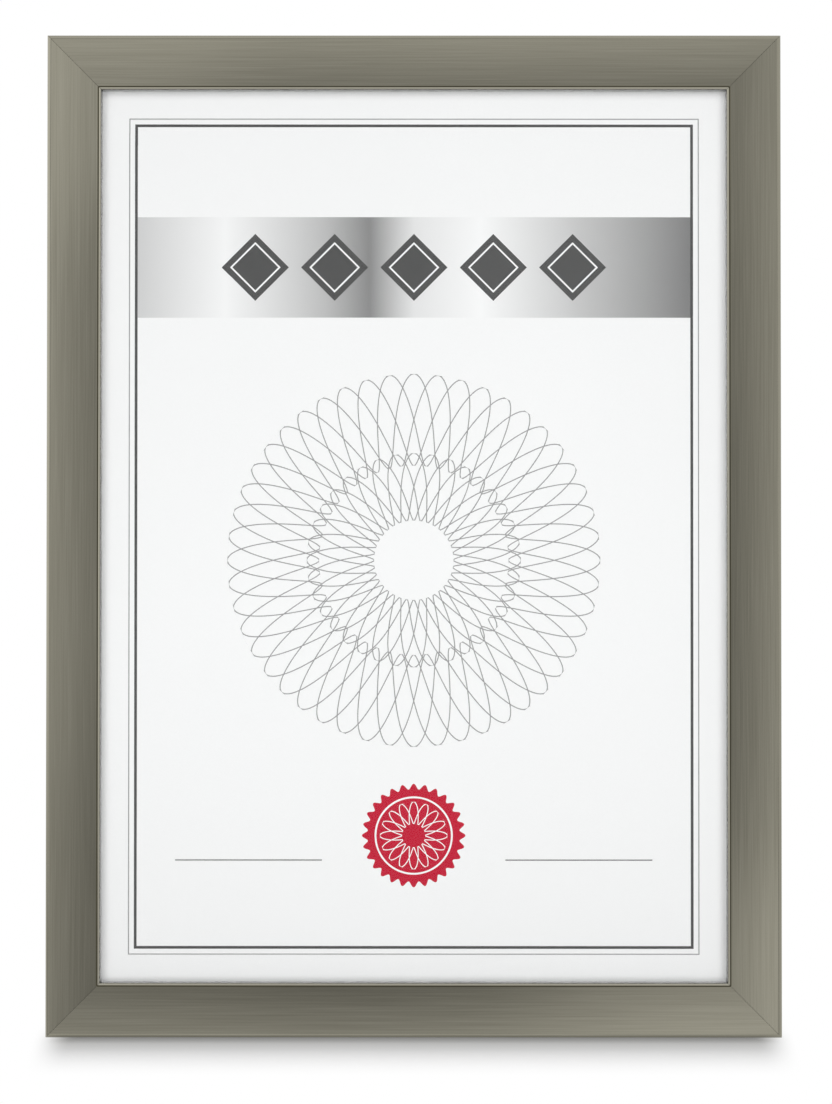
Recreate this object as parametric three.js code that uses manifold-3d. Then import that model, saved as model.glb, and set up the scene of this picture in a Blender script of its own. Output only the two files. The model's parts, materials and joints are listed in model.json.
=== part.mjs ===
// Steel document frame for an A4 sheet, leaning back on its hinged strut.
// Millimetres, +Z up. The glass looks along -Y and the strut stands behind, along +Y.
// The frame is built upright, its rear plane at y = 0 and its lower edge at z = 0, and then leans.
import * as THREE from "three";
import { mergeVertices } from "three/addons/utils/BufferGeometryUtils.js";
import Module from "manifold-3d";

const wasm = await Module();
wasm.setup();

// What the frame holds
const SHEET_WIDTH = 210;
const SHEET_HEIGHT = 297;
const SHEET_THICKNESS = 0.3;
const GLASS_THICKNESS = 2;
const BOARD_THICKNESS = 3;

// Fits: faces that rest on each other, side play of the glass and board, and running parts
const SEAT_GAP = 0.2;
const PACK_CLEARANCE = 0.5;
const RUN_GAP = 0.3;

// Rail section, formed from steel sheet
const RAIL_WIDTH = 17.5;
const RAIL_WALL = 1;
const SIGHT_LAP = 3;
const SIGHT_DEPTH = 4.5;
const FACE_DROP = 2.6;
const FACE_CROWN = 0.5;
const OUTER_EDGE_ROUND = 1.3;
const BEAD_RADIUS = 0.45;
const CREASE_WIDTH = 0.35;
const CHANNEL_SLOT = 4.4;
const MITRE_GAP = 0.2;

// Corner keys and their screws
const KEY_THICKNESS = 3;
const KEY_LEG = 36;
const KEY_CLEARANCE = 0.3;
const SCREW_REACH = 25;
const SCREW_RADIUS = 1.9;
const SCREW_HEAD_RADIUS = 3.8;
const SCREW_HEAD_HEIGHT = 1.8;
const SCREW_HEAD_BEVEL = 0.7;
const SCREW_POINT = 0.8;

// Rivets
const RIVET_RADIUS = 1.4;
const RIVET_HEAD_RADIUS = 2.7;
const RIVET_HEAD_HEIGHT = 0.9;
const RIVET_HEAD_BEVEL = 1;
const RIVET_FLANGE_RADIUS = 2.4;
const RIVET_FLANGE_HEIGHT = 0.5;

// Turn buttons
const BUTTON_THICKNESS = 0.8;
const BUTTON_HALF_WIDTH = 4;
const BUTTON_BITE = 3;
const BUTTON_INSET = 8;
const BUTTON_TAIL = 7.3;
const BUTTON_PLAY = 0.35;
const BUTTON_SHELF = 0.65;
const BUTTON_TAB_HEIGHT = 1.3;
const BUTTON_TAB_WIDTH = 4;
const BUTTON_SPREAD_ACROSS = 100;
const BUTTON_SPREAD_UP = 150;

// Strut and hinge
const LEAN = 14;
const STRUT_OPEN = 27;
const HINGE_HEIGHT = 178;
const HINGE_SHEET = 0.8;
const PIN_RADIUS = 1.2;
const PIN_HEAD_RADIUS = 2;
const PIN_HEAD_LENGTH = 0.8;
const PIN_CLEARANCE = 0.15;
const STRUT_THICKNESS = 3;
const STRUT_STANDOFF = 0.4;
const STRUT_HEAD_WIDTH = 34;
const STRUT_FOOT_WIDTH = 70;
const STRUT_HEAD_DROP = 3.6;
const STRUT_SHOULDER = 4;
const BRACKET_LENGTH = 22;
const BRACKET_RIVET_DROP = 13;
const BRACKET_RIVET_SPREAD = 18;
const TAIL_WIDTH = 20;
const PLATE_ABOVE = 34;
const PLATE_BELOW = 6;
const PLATE_EAR_RADIUS = 3.4;
const PLATE_RIVET_RISE = 25;
const PLATE_RIVET_SPREAD = 22;

// Sawtooth hangers
const HANGER_LENGTH = 44;
const HANGER_HEIGHT = 12;
const HANGER_SHEET = 0.8;
const HANGER_RISE = 1.4;
const HANGER_END = 9;
const HANGER_RAMP = 2;
const HANGER_TEETH = 5;
const HANGER_PITCH = 4.2;
const NOTCH_DEPTH = 2.4;
const NOTCH_ROOT = 1.2;
const NOTCH_MOUTH = 3.2;
const HANGER_RIVET_INSET = 4.5;
const HANGER_INSET = 34;

// Fineness of round forms
const ARC_STEPS = 6;
const ROUND_SIDES = 12;
const MERGE_TOLERANCE = 1e-4;
const OVERCUT = 1;

// Sizes that follow from those above, depths counted forward from the rear plane
const frameWidth = SHEET_WIDTH - 2 * SIGHT_LAP + 2 * RAIL_WIDTH;
const frameHeight = SHEET_HEIGHT - 2 * SIGHT_LAP + 2 * RAIL_WIDTH;
const pocketWall = RAIL_WIDTH - SIGHT_LAP - PACK_CLEARANCE;
const slotCentre = pocketWall / 2;
const boardBack = RAIL_WALL + BUTTON_SHELF + BUTTON_PLAY + BUTTON_THICKNESS + SEAT_GAP;
const boardFront = boardBack + BOARD_THICKNESS;
const sheetBack = boardFront + SEAT_GAP;
const glassBack = sheetBack + SHEET_THICKNESS + SEAT_GAP;
const seatDepth = glassBack + GLASS_THICKNESS + SEAT_GAP;
const creaseDepth = seatDepth + SIGHT_DEPTH;
const railDepth = creaseDepth + FACE_DROP;
const buttonBack = boardBack - SEAT_GAP - BUTTON_THICKNESS;
const buttonTip = BUTTON_INSET + BUTTON_BITE;
const plateBack = boardBack - SEAT_GAP - HINGE_SHEET;
const pinBehind = STRUT_STANDOFF + STRUT_THICKNESS / 2;
const webFront = STRUT_THICKNESS / 2 + SEAT_GAP;
const webBack = webFront + HINGE_SHEET;
const bracketHalfWidth = STRUT_HEAD_WIDTH / 2 + SEAT_GAP + HINGE_SHEET;
const plateHalfWidth = bracketHalfWidth + RUN_GAP + HINGE_SHEET;
const lean = THREE.MathUtils.degToRad(LEAN);
const strutOpen = THREE.MathUtils.degToRad(STRUT_OPEN);

const steel = new THREE.MeshStandardMaterial({ color: 0x88857a, roughness: 0.42, metalness: 0.9 });
const zinc = new THREE.MeshStandardMaterial({ color: 0xa9abae, roughness: 0.38, metalness: 0.95 });
const glass = new THREE.MeshStandardMaterial({
  color: 0xeef3f1,
  roughness: 0.03,
  metalness: 0,
  transparent: true,
  opacity: 0.2,
});
const paper = new THREE.MeshStandardMaterial({ color: 0xf5f5f5, roughness: 0.8, metalness: 0 });
const fibreboard = new THREE.MeshStandardMaterial({ color: 0x7a5a3c, roughness: 0.85, metalness: 0 });

// Joining and cutting

function solidOf(geometry) {
  const bare = geometry.clone();
  bare.deleteAttribute("normal");
  bare.deleteAttribute("uv");
  const merged = mergeVertices(bare, MERGE_TOLERANCE);
  const mesh = new wasm.Mesh({
    numProp: 3,
    vertProperties: merged.attributes.position.array,
    triVerts: new Uint32Array(merged.index.array),
  });
  return new wasm.Manifold(mesh);
}

function geometryOf(solid) {
  const { numProp, vertProperties, triVerts } = solid.getMesh();
  const indexed = new THREE.BufferGeometry();
  indexed.setAttribute("position", new THREE.BufferAttribute(vertProperties, numProp));
  indexed.setIndex(new THREE.BufferAttribute(triVerts, 1));
  const geometry = indexed.toNonIndexed();
  geometry.computeVertexNormals();
  return geometry;
}

function joined(...geometries) {
  const solids = geometries.map(solidOf);
  return geometryOf(solids.reduce((whole, piece) => whole.add(piece)));
}

function cut(geometry, cutters) {
  const whole = solidOf(geometry);
  return geometryOf(cutters.reduce((left, cutter) => left.subtract(solidOf(cutter)), whole));
}

// Basic shapes

function extruded(shape, depth) {
  return new THREE.ExtrudeGeometry(shape, { depth, bevelEnabled: false, curveSegments: ARC_STEPS });
}

// A flat plate drawn on x and z, reaching forward from y = 0 by its thickness.
function plate(shape, thickness) {
  return extruded(shape, thickness).rotateX(Math.PI / 2);
}

// A plate drawn on y and z, standing across x and reaching from x = 0 by its thickness.
function cheek(shape, thickness) {
  const turn = new THREE.Matrix4().makeBasis(
    new THREE.Vector3(0, 1, 0),
    new THREE.Vector3(0, 0, 1),
    new THREE.Vector3(1, 0, 0),
  );
  return extruded(shape, thickness).applyMatrix4(turn);
}

// A turned piece on the y axis from pairs of radius and height, lowest first.
function turned(pairs) {
  const points = pairs.map(([radius, height]) => new THREE.Vector2(radius, height));
  return new THREE.LatheGeometry(points, ROUND_SIDES);
}

function rectangle(left, bottom, right, top) {
  const shape = new THREE.Shape();
  shape.moveTo(left, bottom);
  shape.lineTo(right, bottom);
  shape.lineTo(right, top);
  shape.lineTo(left, top);
  shape.closePath();
  return shape;
}

function roundHole(x, y, radius) {
  const hole = new THREE.Path();
  hole.absarc(x, y, radius, 0, 2 * Math.PI, true);
  return hole;
}

// A straight round cutter along y.
function drill(radius, from, to) {
  return turned([[0, from], [radius, from], [radius, to], [0, to]]);
}

function named(name, geometry, material) {
  const mesh = new THREE.Mesh(geometry, material);
  mesh.name = name;
  return mesh;
}

// Rails

// Height of the face above the rear plane at a distance in from the outer edge.
function faceHeight(across) {
  const crease = RAIL_WIDTH - 2 * BEAD_RADIUS - CREASE_WIDTH;
  const share = (across - OUTER_EDGE_ROUND) / (crease - OUTER_EDGE_ROUND);
  return railDepth - FACE_DROP * share + 4 * FACE_CROWN * share * (1 - share);
}

// The section: across, in from the outer edge, and up, forward from the rear plane.
function railSection() {
  const crease = RAIL_WIDTH - 2 * BEAD_RADIUS - CREASE_WIDTH;
  const faceStep = (crease - OUTER_EDGE_ROUND) / ARC_STEPS;
  const sightInner = RAIL_WIDTH - RAIL_WALL;
  const outerInner = Math.max(RAIL_WALL, OUTER_EDGE_ROUND);
  const shape = new THREE.Shape();
  shape.moveTo(0, 0);
  shape.lineTo(slotCentre - CHANNEL_SLOT / 2, 0);
  shape.lineTo(slotCentre - CHANNEL_SLOT / 2, RAIL_WALL);
  shape.lineTo(RAIL_WALL, RAIL_WALL);
  shape.lineTo(RAIL_WALL, railDepth - OUTER_EDGE_ROUND - RAIL_WALL);
  for (let i = 0; i < ARC_STEPS; i += 1) {
    const across = outerInner + (sightInner - outerInner) * (i / ARC_STEPS);
    shape.lineTo(across, faceHeight(across) - RAIL_WALL);
  }
  shape.lineTo(sightInner, faceHeight(sightInner) - RAIL_WALL);
  shape.lineTo(sightInner, seatDepth + RAIL_WALL);
  shape.lineTo(pocketWall - RAIL_WALL, seatDepth + RAIL_WALL);
  shape.lineTo(pocketWall - RAIL_WALL, RAIL_WALL);
  shape.lineTo(slotCentre + CHANNEL_SLOT / 2, RAIL_WALL);
  shape.lineTo(slotCentre + CHANNEL_SLOT / 2, 0);
  shape.lineTo(pocketWall, 0);
  shape.lineTo(pocketWall, seatDepth);
  shape.lineTo(RAIL_WIDTH, seatDepth);
  shape.absarc(RAIL_WIDTH - BEAD_RADIUS, creaseDepth, BEAD_RADIUS, 0, Math.PI, false);
  for (let i = 0; i < ARC_STEPS; i += 1) {
    const across = crease - faceStep * i;
    shape.lineTo(across, faceHeight(across));
  }
  const edgeCentre = railDepth - OUTER_EDGE_ROUND;
  shape.absarc(OUTER_EDGE_ROUND, edgeCentre, OUTER_EDGE_ROUND, Math.PI / 2, Math.PI, false);
  shape.closePath();
  return shape;
}

// A rail lying along x below the frame's centre, its ends mitred, with a slot for each turn button.
function railGeometry(length, toCentre, buttonStations) {
  const geometry = extruded(railSection(), 1);
  const position = geometry.attributes.position;
  for (let i = 0; i < position.count; i += 1) {
    const end = length / 2 - position.getX(i) - MITRE_GAP / 2;
    position.setZ(i, position.getZ(i) > 0 ? end : -end);
  }
  const lie = new THREE.Matrix4().makeBasis(
    new THREE.Vector3(0, 0, 1),
    new THREE.Vector3(0, -1, 0),
    new THREE.Vector3(1, 0, 0),
  );
  geometry.applyMatrix4(lie);
  geometry.translate(0, 0, -toCentre);
  const slotHalf = Math.sqrt(buttonTip ** 2 - BUTTON_INSET ** 2) + BUTTON_PLAY;
  const slotHeight = BUTTON_THICKNESS + 2 * BUTTON_PLAY;
  const slots = buttonStations.map((station) => {
    const slot = new THREE.BoxGeometry(2 * slotHalf, slotHeight, RAIL_WALL + 2 * RUN_GAP);
    slot.translate(station, -(buttonBack + BUTTON_THICKNESS / 2), pocketWall - RAIL_WALL / 2 - toCentre);
    return slot;
  });
  return cut(geometry, slots);
}

function addRails(frame) {
  const centre = new THREE.Group();
  centre.position.z = frameHeight / 2;
  const across = [-BUTTON_SPREAD_ACROSS / 2, BUTTON_SPREAD_ACROSS / 2];
  const up = [-BUTTON_SPREAD_UP / 2, BUTTON_SPREAD_UP / 2];
  const shortRail = railGeometry(frameWidth, frameHeight / 2, across);
  const longRail = railGeometry(frameHeight, frameWidth / 2, up);
  const placed = [
    ["bottom_rail", shortRail, 0],
    ["left_rail", longRail, Math.PI / 2],
    ["top_rail", shortRail, Math.PI],
    ["right_rail", longRail, -Math.PI / 2],
  ];
  for (const [name, geometry, turn] of placed) {
    const rail = named(name, geometry, steel);
    rail.rotation.y = turn;
    centre.add(rail);
  }
  frame.add(centre);
}

// Corner keys and screws

// An L drawn from the frame's outer corner, with a hole for the screw in each leg.
function keyGeometry() {
  const outer = RAIL_WALL + KEY_CLEARANCE;
  const inner = pocketWall - RAIL_WALL - KEY_CLEARANCE;
  const shape = new THREE.Shape();
  shape.moveTo(outer, outer);
  shape.lineTo(KEY_LEG, outer);
  shape.lineTo(KEY_LEG, inner);
  shape.lineTo(inner, inner);
  shape.lineTo(inner, KEY_LEG);
  shape.lineTo(outer, KEY_LEG);
  shape.closePath();
  const holeRadius = SCREW_RADIUS + SEAT_GAP;
  shape.holes.push(roundHole(SCREW_REACH, slotCentre, holeRadius));
  shape.holes.push(roundHole(slotCentre, SCREW_REACH, holeRadius));
  return plate(shape, KEY_THICKNESS);
}

function screwGeometry() {
  const tip = -(RAIL_WALL + KEY_CLEARANCE + KEY_THICKNESS + SCREW_POINT);
  const headTop = SEAT_GAP + SCREW_HEAD_HEIGHT;
  return turned([
    [0, tip],
    [SCREW_RADIUS - SCREW_POINT / 2, tip],
    [SCREW_RADIUS, tip + SCREW_POINT],
    [SCREW_RADIUS, SEAT_GAP],
    [SCREW_HEAD_RADIUS, SEAT_GAP],
    [SCREW_HEAD_RADIUS, headTop - SCREW_HEAD_BEVEL],
    [SCREW_HEAD_RADIUS - SCREW_HEAD_BEVEL, headTop],
    [0, headTop],
  ]);
}

function addCorners(frame) {
  const key = keyGeometry();
  const screw = screwGeometry();
  const corners = [
    ["bottom_left", -frameWidth / 2, 0, 0],
    ["bottom_right", frameWidth / 2, 0, -Math.PI / 2],
    ["top_right", frameWidth / 2, frameHeight, Math.PI],
    ["top_left", -frameWidth / 2, frameHeight, Math.PI / 2],
  ];
  for (const [place, x, z, turn] of corners) {
    const corner = new THREE.Group();
    corner.position.set(x, 0, z);
    corner.rotation.y = turn;
    const keyMesh = named(`corner_key_${place}`, key, zinc);
    keyMesh.position.y = -(RAIL_WALL + KEY_CLEARANCE);
    corner.add(keyMesh);
    const seats = [[SCREW_REACH, slotCentre], [slotCentre, SCREW_REACH]];
    seats.forEach(([across, up], index) => {
      const screwMesh = named(`corner_screw_${place}_${index + 1}`, screw, zinc);
      screwMesh.position.set(across, 0, up);
      corner.add(screwMesh);
    });
    frame.add(corner);
  }
}

// Rivets

// A rivet on the y axis: a round head behind its rear seat, a flange ahead of its front seat.
function rivetGeometry(rearSeat, frontSeat) {
  const headStart = rearSeat + SEAT_GAP;
  const headEnd = headStart + RIVET_HEAD_HEIGHT;
  const flangeStart = frontSeat - SEAT_GAP;
  const flangeEnd = flangeStart - RIVET_FLANGE_HEIGHT;
  return turned([
    [0, flangeEnd],
    [RIVET_FLANGE_RADIUS, flangeEnd],
    [RIVET_FLANGE_RADIUS, flangeStart],
    [RIVET_RADIUS, flangeStart],
    [RIVET_RADIUS, headStart],
    [RIVET_HEAD_RADIUS, headStart],
    [RIVET_HEAD_RADIUS - RIVET_HEAD_BEVEL, headEnd],
    [0, headEnd],
  ]);
}

// The front flange of a board rivet lies sunk in the board, clear of the sheet.
const sunkSeat = -(boardFront - RIVET_FLANGE_HEIGHT - 2 * SEAT_GAP);
const buttonRivet = rivetGeometry(-buttonBack, sunkSeat);
const plateRivet = rivetGeometry(-plateBack, sunkSeat);
const hangerRivet = rivetGeometry(-(boardBack - SEAT_GAP - HANGER_SHEET), sunkSeat);

// Turn buttons, two on each side of the board

const boardHalfWidth = SHEET_WIDTH / 2;
const boardMiddle = frameHeight / 2;
const pivotAcross = boardHalfWidth + PACK_CLEARANCE - BUTTON_INSET;
const pivotUp = SHEET_HEIGHT / 2 + PACK_CLEARANCE - BUTTON_INSET;
const buttonPlaces = [
  ["left_lower", -pivotAcross, boardMiddle - BUTTON_SPREAD_UP / 2, Math.PI],
  ["left_upper", -pivotAcross, boardMiddle + BUTTON_SPREAD_UP / 2, Math.PI],
  ["right_lower", pivotAcross, boardMiddle - BUTTON_SPREAD_UP / 2, 0],
  ["right_upper", pivotAcross, boardMiddle + BUTTON_SPREAD_UP / 2, 0],
  ["bottom_left", -BUTTON_SPREAD_ACROSS / 2, boardMiddle - pivotUp, Math.PI / 2],
  ["bottom_right", BUTTON_SPREAD_ACROSS / 2, boardMiddle - pivotUp, Math.PI / 2],
  ["top_left", -BUTTON_SPREAD_ACROSS / 2, boardMiddle + pivotUp, -Math.PI / 2],
  ["top_right", BUTTON_SPREAD_ACROSS / 2, boardMiddle + pivotUp, -Math.PI / 2],
];

// A strip with round ends and a thumb tab, its tip along +x and its pivot at the origin.
function buttonGeometry() {
  const shape = new THREE.Shape();
  const tipCentre = buttonTip - BUTTON_HALF_WIDTH;
  const tailCentre = BUTTON_HALF_WIDTH - BUTTON_TAIL;
  shape.absarc(tipCentre, 0, BUTTON_HALF_WIDTH, -Math.PI / 2, Math.PI / 2, false);
  shape.absarc(tailCentre, 0, BUTTON_HALF_WIDTH, Math.PI / 2, 1.5 * Math.PI, false);
  shape.closePath();
  shape.holes.push(roundHole(0, 0, RIVET_RADIUS + SEAT_GAP));
  const strip = plate(shape, BUTTON_THICKNESS);
  const tabHeight = BUTTON_TAB_HEIGHT + BUTTON_THICKNESS;
  const tab = new THREE.BoxGeometry(BUTTON_THICKNESS, tabHeight, BUTTON_TAB_WIDTH);
  const tabPlace = BUTTON_THICKNESS - BUTTON_TAIL + BUTTON_THICKNESS / 2;
  tab.translate(tabPlace, tabHeight / 2 - BUTTON_THICKNESS, 0);
  return joined(strip, tab);
}

function addButtons(frame) {
  const button = buttonGeometry();
  for (const [place, x, z, turn] of buttonPlaces) {
    const buttonMesh = named(`turn_button_${place}`, button, zinc);
    buttonMesh.position.set(x, -buttonBack, z);
    buttonMesh.rotation.y = turn;
    const rivetMesh = named(`turn_button_rivet_${place}`, buttonRivet, zinc);
    rivetMesh.position.set(x, 0, z);
    frame.add(buttonMesh, rivetMesh);
  }
}

// Hangers: one above the middle for upright hanging, one at the side for hanging on the long edge

const hangerRivetOffset = HANGER_LENGTH / 2 - HANGER_RIVET_INSET;
const hangerPlaces = [
  ["upright", 0, boardMiddle + SHEET_HEIGHT / 2 - HANGER_INSET, 0],
  ["sideways", HANGER_INSET - boardHalfWidth, boardMiddle, -Math.PI / 2],
];

// A strip along x, raised in the middle, with teeth in its lower edge at z = 0.
function hangerGeometry() {
  const half = HANGER_LENGTH / 2;
  const foot = half - HANGER_END;
  const rise = foot - HANGER_RAMP;
  const path = [[-half, 0], [-foot, 0], [-rise, HANGER_RISE], [rise, HANGER_RISE], [foot, 0], [half, 0]];
  const shape = new THREE.Shape();
  shape.moveTo(...path[0]);
  path.slice(1).forEach(([x, y]) => shape.lineTo(x, y));
  path.toReversed().forEach(([x, y]) => shape.lineTo(x, y + HANGER_SHEET));
  shape.closePath();
  const strip = extruded(shape, HANGER_HEIGHT);
  const reach = HANGER_RISE + HANGER_SHEET + OVERCUT;
  const cutters = [];
  for (let i = 0; i < HANGER_TEETH; i += 1) {
    const x = (i - (HANGER_TEETH - 1) / 2) * HANGER_PITCH;
    const flare = (NOTCH_MOUTH - NOTCH_ROOT) / 2 / NOTCH_DEPTH;
    const mouth = NOTCH_MOUTH / 2 + flare * OVERCUT;
    const notch = new THREE.Shape();
    notch.moveTo(x - mouth, -OVERCUT);
    notch.lineTo(x + mouth, -OVERCUT);
    notch.lineTo(x + NOTCH_ROOT / 2, NOTCH_DEPTH);
    notch.lineTo(x - NOTCH_ROOT / 2, NOTCH_DEPTH);
    notch.closePath();
    cutters.push(plate(notch, reach + OVERCUT).translate(0, reach, 0));
  }
  for (const side of [-1, 1]) {
    const hole = drill(RIVET_RADIUS + SEAT_GAP, -OVERCUT, HANGER_SHEET + OVERCUT);
    cutters.push(hole.translate(side * hangerRivetOffset, 0, HANGER_HEIGHT / 2));
  }
  return cut(strip, cutters);
}

function addHangers(frame) {
  const hanger = hangerGeometry();
  for (const [place, x, z, turn] of hangerPlaces) {
    const group = new THREE.Group();
    group.position.set(x, 0, z);
    group.rotation.y = turn;
    const strip = named(`hanger_${place}`, hanger, zinc);
    strip.position.set(0, SEAT_GAP - boardBack, -HANGER_HEIGHT / 2);
    group.add(strip);
    [-1, 1].forEach((side, index) => {
      const rivet = named(`hanger_rivet_${place}_${index + 1}`, hangerRivet, zinc);
      rivet.position.x = side * hangerRivetOffset;
      group.add(rivet);
    });
    frame.add(group);
  }
}

// Glass, sheet and back board

const plateRivetPlaces = [-1, 1].map((side) => [
  (side * PLATE_RIVET_SPREAD) / 2,
  HINGE_HEIGHT + PLATE_RIVET_RISE,
]);

function boardRivetPlaces() {
  const buttons = buttonPlaces.map(([, x, z]) => [x, z]);
  const hangers = hangerPlaces.flatMap(([, x, z, turn]) =>
    [-1, 1].map((side) => [
      x + side * hangerRivetOffset * Math.cos(turn),
      z - side * hangerRivetOffset * Math.sin(turn),
    ]),
  );
  return [...buttons, ...hangers, ...plateRivetPlaces];
}

// The stepped hole that takes a board rivet: its shank, and its flange at the front.
function rivetBore() {
  const front = -boardFront - OVERCUT;
  const step = sunkSeat;
  const back = -boardBack + OVERCUT;
  const flange = RIVET_FLANGE_RADIUS + SEAT_GAP;
  const shank = RIVET_RADIUS + SEAT_GAP;
  return turned([[0, front], [flange, front], [flange, step], [shank, step], [shank, back], [0, back]]);
}

function addPack(frame) {
  const outline = rectangle(-boardHalfWidth, -SHEET_HEIGHT / 2, boardHalfWidth, SHEET_HEIGHT / 2);
  const glassMesh = named("glass_pane", plate(outline, GLASS_THICKNESS), glass);
  glassMesh.position.set(0, -glassBack, boardMiddle);
  const sheetMesh = named("insert_sheet", plate(outline, SHEET_THICKNESS), paper);
  sheetMesh.position.set(0, -sheetBack, boardMiddle);
  const bores = boardRivetPlaces().map(([x, z]) => rivetBore().translate(x, 0, z));
  const blank = plate(outline, BOARD_THICKNESS).translate(0, -boardBack, boardMiddle);
  const boardMesh = named("back_board", cut(blank, bores), fibreboard);
  frame.add(glassMesh, sheetMesh, boardMesh);
}

// Hinge plate on the board, with an ear at each side for the pin

function hingePlateGeometry() {
  const base = rectangle(-plateHalfWidth, -PLATE_BELOW, plateHalfWidth, PLATE_ABOVE);
  const holes = plateRivetPlaces.map(([x, z]) => {
    return roundHole(x, z - HINGE_HEIGHT, RIVET_RADIUS + SEAT_GAP);
  });
  base.holes.push(...holes);
  const flat = plate(base, HINGE_SHEET).translate(0, -plateBack, 0);
  const front = -(plateBack + HINGE_SHEET);
  const ear = new THREE.Shape();
  ear.moveTo(front, -PLATE_EAR_RADIUS);
  ear.absarc(pinBehind, 0, PLATE_EAR_RADIUS, -Math.PI / 2, Math.PI / 2, false);
  ear.lineTo(front, PLATE_EAR_RADIUS);
  ear.closePath();
  ear.holes.push(roundHole(pinBehind, 0, PIN_RADIUS + PIN_CLEARANCE));
  const right = cheek(ear, HINGE_SHEET).translate(plateHalfWidth - HINGE_SHEET, 0, 0);
  const left = cheek(ear, HINGE_SHEET).translate(-plateHalfWidth, 0, 0);
  return joined(flat, right, left);
}

function pinGeometry() {
  const half = plateHalfWidth + SEAT_GAP;
  const end = half + PIN_HEAD_LENGTH;
  const pin = turned([
    [0, -end],
    [PIN_HEAD_RADIUS, -end],
    [PIN_HEAD_RADIUS, -half],
    [PIN_RADIUS, -half],
    [PIN_RADIUS, half],
    [PIN_HEAD_RADIUS, half],
    [PIN_HEAD_RADIUS, end],
    [0, end],
  ]);
  return pin.rotateZ(Math.PI / 2);
}

function addHinge(frame) {
  const plateMesh = named("hinge_plate", hingePlateGeometry(), zinc);
  plateMesh.position.z = HINGE_HEIGHT;
  const pinMesh = named("hinge_pin", pinGeometry(), zinc);
  pinMesh.position.set(0, pinBehind, HINGE_HEIGHT);
  frame.add(plateMesh, pinMesh);
  plateRivetPlaces.forEach(([x, z], index) => {
    const rivet = named(`hinge_plate_rivet_${index + 1}`, plateRivet, zinc);
    rivet.position.set(x, 0, z);
    frame.add(rivet);
  });
}

// Strut, drawn folded, hanging from the pin at the origin

// The bracket's tail stops on the hinge plate once the strut is open.
function tailLength() {
  const forward = pinBehind + webFront * Math.cos(strutOpen) + plateBack - SEAT_GAP;
  return forward / Math.sin(strutOpen);
}

// Where the strut meets the floor, for a point of its thickness behind the pin.
function footDrop(behind) {
  const slope = strutOpen - lean;
  const pinHeight = HINGE_HEIGHT * Math.cos(lean) - pinBehind * Math.sin(lean);
  return (pinHeight + behind * Math.sin(slope)) / Math.cos(slope);
}

const bracketRivetPlaces = [-1, 1].map((side) => [(side * BRACKET_RIVET_SPREAD) / 2, -BRACKET_RIVET_DROP]);

function strutGeometry() {
  const head = STRUT_HEAD_WIDTH / 2;
  const foot = STRUT_FOOT_WIDTH / 2;
  const shoulder = -(BRACKET_LENGTH + STRUT_SHOULDER);
  const bottom = -footDrop(0);
  const shape = new THREE.Shape();
  shape.moveTo(-foot, bottom);
  shape.lineTo(foot, bottom);
  shape.lineTo(head, shoulder);
  shape.lineTo(head, -STRUT_HEAD_DROP);
  shape.lineTo(-head, -STRUT_HEAD_DROP);
  shape.lineTo(-head, shoulder);
  shape.closePath();
  for (const [x, z] of bracketRivetPlaces) {
    shape.holes.push(roundHole(x, z, RIVET_RADIUS + SEAT_GAP));
  }
  const board = plate(shape, STRUT_THICKNESS).translate(0, STRUT_THICKNESS / 2, 0);
  const position = board.attributes.position;
  for (let i = 0; i < position.count; i += 1) {
    if (position.getZ(i) < bottom + MERGE_TOLERANCE) {
      position.setZ(i, -footDrop(position.getY(i)));
    }
  }
  return board;
}

function bracketGeometry() {
  const web = new THREE.Shape();
  web.moveTo(-bracketHalfWidth, -BRACKET_LENGTH);
  web.lineTo(bracketHalfWidth, -BRACKET_LENGTH);
  web.lineTo(bracketHalfWidth, 0);
  web.lineTo(TAIL_WIDTH / 2, 0);
  web.lineTo(TAIL_WIDTH / 2, tailLength());
  web.lineTo(-TAIL_WIDTH / 2, tailLength());
  web.lineTo(-TAIL_WIDTH / 2, 0);
  web.lineTo(-bracketHalfWidth, 0);
  web.closePath();
  for (const [x, z] of bracketRivetPlaces) {
    web.holes.push(roundHole(x, z, RIVET_RADIUS + SEAT_GAP));
  }
  const flat = plate(web, HINGE_SHEET).translate(0, webBack, 0);
  const ear = new THREE.Shape();
  ear.moveTo(-STRUT_THICKNESS / 2, -BRACKET_LENGTH);
  ear.lineTo(webBack, -BRACKET_LENGTH);
  ear.absarc(0, 0, webBack, 0, Math.PI, false);
  ear.lineTo(-STRUT_THICKNESS / 2, -STRUT_HEAD_DROP);
  ear.closePath();
  ear.holes.push(roundHole(0, 0, PIN_RADIUS + PIN_CLEARANCE));
  const right = cheek(ear, HINGE_SHEET).translate(bracketHalfWidth - HINGE_SHEET, 0, 0);
  const left = cheek(ear, HINGE_SHEET).translate(-bracketHalfWidth, 0, 0);
  return joined(flat, right, left);
}

function addStrut(frame) {
  const strut = new THREE.Group();
  strut.position.set(0, pinBehind, HINGE_HEIGHT);
  strut.rotation.x = strutOpen;
  strut.add(named("strut", strutGeometry(), fibreboard));
  strut.add(named("strut_bracket", bracketGeometry(), zinc));
  const rivetShape = rivetGeometry(webBack, -STRUT_THICKNESS / 2);
  bracketRivetPlaces.forEach(([x, z], index) => {
    const rivet = named(`strut_rivet_${index + 1}`, rivetShape, zinc);
    rivet.position.set(x, 0, z);
    strut.add(rivet);
  });
  frame.add(strut);
}

// The whole frame leans about its lower rear edge, then is centred over its footprint.

const frame = new THREE.Group();
addRails(frame);
addCorners(frame);
addPack(frame);
addButtons(frame);
addHangers(frame);
addHinge(frame);
addStrut(frame);
frame.rotation.x = -lean;

const part = new THREE.Group();
part.add(frame);
part.updateMatrixWorld(true);
const extent = new THREE.Box3().setFromObject(part, true);
frame.position.y = -(extent.min.y + extent.max.y) / 2;

export default part;
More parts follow.
